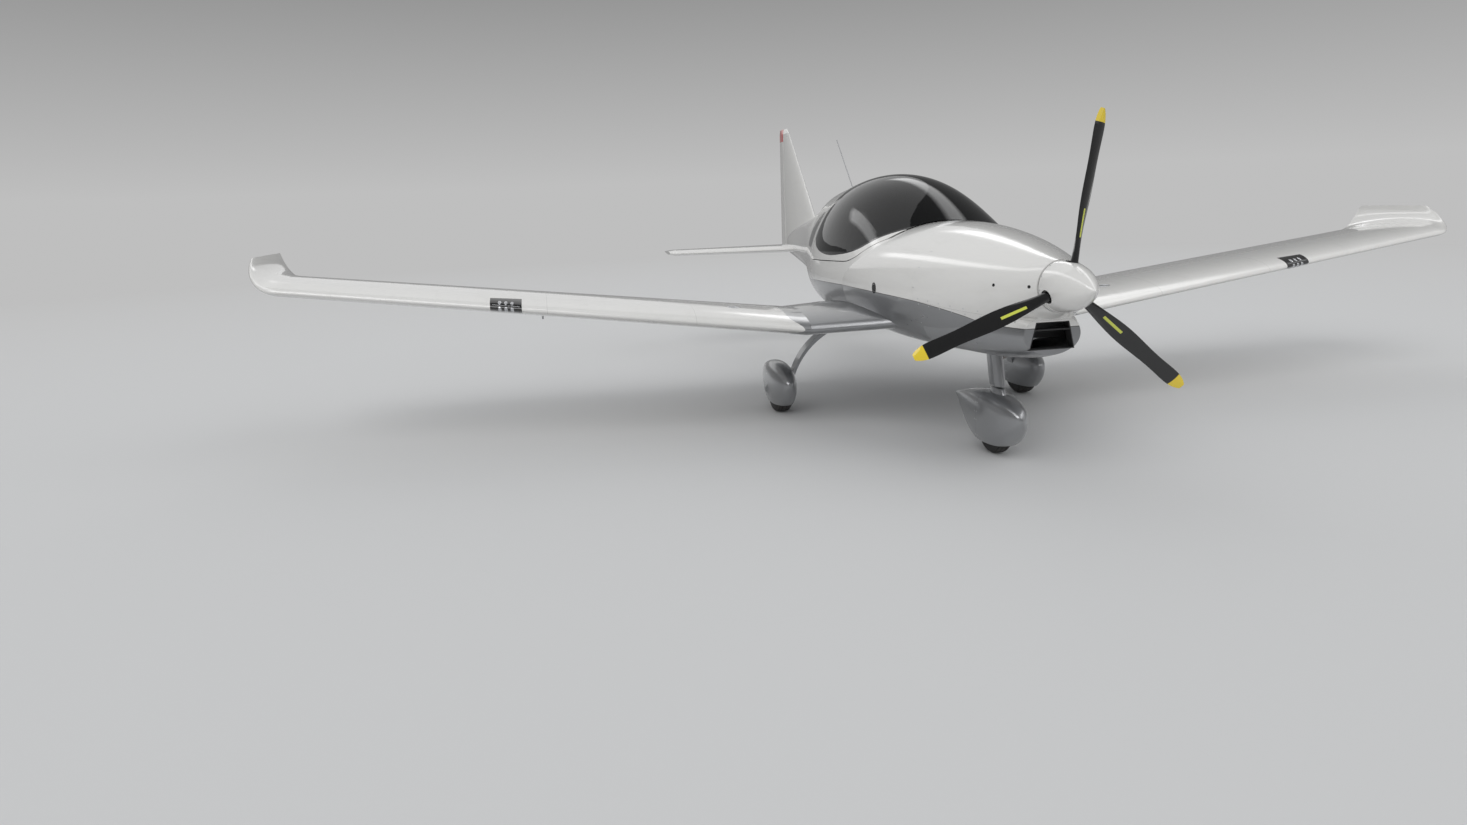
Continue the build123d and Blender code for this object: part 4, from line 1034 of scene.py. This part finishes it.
def make_pads():
    """Each pad once, then its mirror image on the other side."""
    for name, (size, seams, cap) in PADS.items():
        inset = cap * 0.9
        start = (size[0] - 2 * inset, size[1] - 2 * inset, size[2] - inset)
        bm = puffed(rounded_block(start, min(start) * 0.36), cap)
        bmesh.ops.translate(bm, verts=bm.verts, vec=(0, 0, -inset / 2))
        sew(bm, seams)
        tube = piping(bm, size, start[2] * 0.12)
        for side, prefix in ((1, "left"), (-1, "right")):
            at = Matrix.Diagonal((side, 1, 1, 1)) @ pad_place(name)
            pieces = []
            for source, suffix, material in ((bm, "", cloth), (tube, "_piping", trim)):
                copy = source.copy()
                bmesh.ops.transform(copy, verts=copy.verts, matrix=at)
                pieces.append(new_piece(f"{prefix}_{name}{suffix}", copy, material, "airframe", 180))
            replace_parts(pieces[0], f"{name}s")
        bm.free()
        tube.free()


# Cabin fittings

def make_belts():
    """Two shoulder straps and a lap belt on each seat, with a buckle."""
    straps, buckles = bmesh.new(), bmesh.new()
    back = pad_place("seat_back")
    out = back.to_3x3() @ Vector((0, 0, 1))
    lift, lap_height = BACK_THICKNESS / 2 + 0.004, SEAT_BASE + CUSHION_THICKNESS + 0.022
    for side in (-1, 1):
        middle = side * SEAT_MIDDLE
        flip = Matrix.Diagonal((side, 1, 1, 1))
        for offset in (-0.075, 0.075):
            path, normals = [], []
            for step in range(15):
                rise = 0.250 - 0.44 * step / 14
                spread = offset * (1 - 0.55 * step / 14)
                path.append(flip @ (back @ Vector((spread, rise, lift))))
                normals.append(flip.to_3x3() @ out)
            add_sweep(straps, rail(path, normals), strap_outline(0.045, 0.002))
        lap, normals = [], []
        for step in range(17):
            share = 2 * step / 16 - 1
            drop = 0.055 * abs(share) ** 3
            lap.append(Vector((middle + share * 0.215, aft(2.47), lap_height - drop)))
            normals.append(Vector((share * 0.3, -0.35, 1)).normalized())
        add_sweep(straps, rail(lap, normals), strap_outline(0.045, 0.002))
        at = Matrix.Translation((middle, aft(2.466), lap_height + 0.004))
        at = at @ Matrix.Rotation(radians(20), 4, "X")
        add_turned(buckles, at, ((0, 0.016), (0.018, 0.016), (0.023, 0.012), (0.026, 0.004), (0.026, 0.0),
                                 (0, 0.0)))
    new_piece("seat_belts", straps, belt, "airframe")
    new_piece("belt_buckles", buckles, bright_steel, "airframe")


def make_panel_fittings():
    """Bezels with keys round the displays, rows of switches and two vents."""
    bezels, keys, knobs = bmesh.new(), bmesh.new(), bmesh.new()
    rear = aft(PANEL_REAR + 0.010)
    upright = Matrix.Rotation(-pi / 2, 4, "X")
    for x, half, low, high in SCREENS:
        middle = (low + high) / 2
        for side in (-1, 1):
            add_box(bezels, Matrix.Translation((x + side * (half - 0.008), rear, middle)),
                    (0.018, 0.010, high - low), 0.002)
            edge = middle + side * ((high - low) / 2 - 0.008)
            add_box(bezels, Matrix.Translation((x, rear, edge)), (2 * half - 0.016, 0.010, 0.018), 0.002)
        for step in range(-4, 5):
            add_box(keys, Matrix.Translation((x + step * half * 0.19, rear + 0.006, low + 0.009)),
                    (half * 0.12, 0.004, 0.007), 0.001)
        knob = Matrix.Translation((x + half - 0.009, rear + 0.004, high - 0.010)) @ upright
        add_turned(knobs, knob, ((0, 0.014), (0.005, 0.014), (0.0062, 0.012), (0.0068, 0.0), (0, 0.0)), 24)
    for index in range(12):
        x = -0.33 + 0.06 * index
        base = Matrix.Translation((x, aft(PANEL_REAR), 1.045)) @ upright
        add_turned(knobs, base, ((0, 0.003), (0.008, 0.003), (0.009, 0.0), (0, 0.0)), 24)
        lever = base @ Matrix.Rotation(radians(18 if index % 3 else -18), 4, "X")
        add_turned(knobs, lever, ((0, 0.018), (0.0028, 0.017), (0.0022, 0.002), (0, 0.0)), 16)
    for side in (-1, 1):
        base = Matrix.Translation((side * 0.455, aft(PANEL_REAR), 1.12)) @ upright
        add_turned(bezels, base, ((0.020, 0.0), (0.020, 0.008), (0.024, 0.010), (0.029, 0.006), (0.031, 0.0)), 40)
    new_piece("screen_bezels", bezels, black_plastic, "airframe")
    new_piece("screen_keys", keys, trim, "airframe")
    new_piece("panel_knobs", knobs, alloy, "airframe")


def make_console_fittings():
    """Throttle lever in its slot, a flap switch plate and a round fuel selector on the console."""
    plates, levers = bmesh.new(), bmesh.new()
    at = Matrix.Translation((0, aft(2.02), CONSOLE_TOP)) @ Matrix.Rotation(radians(11), 4, "X")
    add_box(plates, at, (0.062, 0.150, 0.005), 0.0015)
    for x in (-0.016, 0.016):
        lean = at @ Matrix.Translation((x, 0.01, 0.0)) @ Matrix.Rotation(radians(-12), 4, "X")
        add_turned(levers, lean, ((0, 0.0), (0.0035, 0.001), (0.0035, 0.060), (0.010, 0.064), (0.012, 0.076),
                                  (0.009, 0.086), (0, 0.089)), 24)
    turn = Matrix.Translation((0, aft(2.25), 0.8535)) @ Matrix.Rotation(radians(3), 4, "X")
    add_turned(plates, turn, ((0, 0.004), (0.028, 0.004), (0.031, 0.0), (0, 0.0)), 40)
    add_box(levers, turn @ Matrix.Translation((0, 0, 0.010)), (0.012, 0.050, 0.012), 0.003)
    new_piece("console_plates", plates, black_plastic, "airframe")
    new_piece("console_levers", levers, alloy, "airframe")


make_cowl_screws()
make_spinner_screws()
make_cowl_ports()
make_side_vent()
make_fuel_caps()
make_wing_covers()
make_fairing_screws(*make_fairings())
make_landing_lenses()
make_pads()
make_belts()
make_panel_fittings()
make_console_fittings()


# Stage, light and camera

def rays(finish, kind):
    """1 for one kind of ray."""
    return finish.add("ShaderNodeLightPath", (), (), f"Is {kind} Ray")


def seen_rays(finish):
    """1 for rays from the camera, from gloss and through glass."""
    return rays(finish, "Camera") | rays(finish, "Glossy") | rays(finish, "Transmission")


def backdrop_level(finish):
    """The background's level, lower in what gloss mirrors, as in a hall."""
    return BACKDROP - rays(finish, "Glossy") * (BACKDROP - GLOSS_HORIZON)


def grey_tone(finish, level):
    return finish.add("ShaderNodeCombineXYZ", (), {0: level, 1: level, 2: level})


def make_floor():
    """Pale matt ground whose far part takes the background's colour."""
    bm = bmesh.new()
    bmesh.ops.create_circle(bm, cap_ends=True, radius=90, segments=128)
    mesh = bpy.data.meshes.new("floor")
    bm.to_mesh(mesh)
    bm.free()
    floor = bpy.data.objects.new("floor", mesh)
    bpy.context.scene.collection.objects.link(floor)
    finish = Finish("floor_matt")
    away = (finish.axis("X") ** 2 + finish.axis("Y") ** 2) ** 0.5
    ground = finish.principled(Base_Color=(0.63, 0.63, 0.63), Roughness=0.8, Specular_IOR_Level=0.1)
    tone = grey_tone(finish, backdrop_level(finish))
    glow = finish.add("ShaderNodeEmission", (), {"Color": tone})
    nearer = rays(finish, "Glossy") * 5
    share = seen_rays(finish) * away.above(13 - nearer, 14 - nearer)
    mesh.materials.append(mixed(finish, share, ground, glow))


def make_world():
    """Even light, and the background's colour for rays that see it; higher up it is a soft-lit hall."""
    bpy.context.scene.world = bpy.data.worlds.new("studio")
    sky = Finish("studio", bpy.context.scene.world)
    height = sky.axis("Z")
    side = abs(sky.axis("X") / (height | 0.05))
    reach = abs(sky.axis("Y") / (height | 0.05))
    strips = side.within(0.62, 0.13, 0.10) * (1 - reach.above(1.9, 0.3)) * height.above(0.25, 0.1)
    start = backdrop_level(sky)
    level = start - height.above(0.17, 0.30) * (start - 0.16) + strips * 1.7
    seen = sky.add("ShaderNodeBackground", (), {"Color": grey_tone(sky, level), "Strength": 1.0})
    light = sky.add("ShaderNodeBackground", (), {"Color": (0.96, 0.98, 1.0), "Strength": 0.55})
    mixed(sky, seen_rays(sky), light, seen)


# Suns: name, direction that they shine from, spread in degrees and strength
SUNS = (("key_sun", (-4.0, -6.0, 6.5), 45, 1.00), ("fill_sun", (6.0, -3.0, 5.0), 70, 0.40),
        ("rear_sun", (-1.0, 8.0, 6.0), 60, 0.40))


def make_sun(name, origin, spread, strength):
    """Wide soft sun that shines from a direction towards the aircraft."""
    data = bpy.data.lights.new(name, "SUN")
    data.energy, data.angle = strength, radians(spread)
    lamp = bpy.data.objects.new(name, data)
    bpy.context.scene.collection.objects.link(lamp)
    lamp.rotation_euler = Vector(origin).to_track_quat("Z", "Y").to_euler()


def make_camera():
    """The photo's camera: place, turn, tilt and roll from the object's known points."""
    yaw, pitch, roll = radians(10.3216), radians(-12.0045), radians(-2.1436)
    focal_length, width, shift_right, shift_down = 927.1, 1467, 0.5, 16.0
    ahead = Vector((sin(yaw) * cos(pitch), cos(yaw) * cos(pitch), sin(pitch)))
    level = Vector((cos(yaw), -sin(yaw), 0))
    up = level.cross(ahead)
    right = level * cos(roll) + up * sin(roll)
    top = up * cos(roll) - level * sin(roll)
    data = bpy.data.cameras.new("camera")
    data.sensor_width, data.lens = 36.0, focal_length / width * 36
    data.shift_x, data.shift_y = shift_right / width, -shift_down / width
    data.clip_end = 300
    camera = bpy.data.objects.new("camera", data)
    bpy.context.scene.collection.objects.link(camera)
    camera.matrix_world = Matrix.Translation((-2.5724, aft(-4.1268), 1.5863)) @ Matrix(
        (right, top, -ahead)).transposed().to_4x4()
    bpy.context.scene.camera = camera


make_floor()
make_world()
for sun in SUNS:
    make_sun(*sun)
make_camera()
bpy.context.scene.view_settings.view_transform = "Standard"
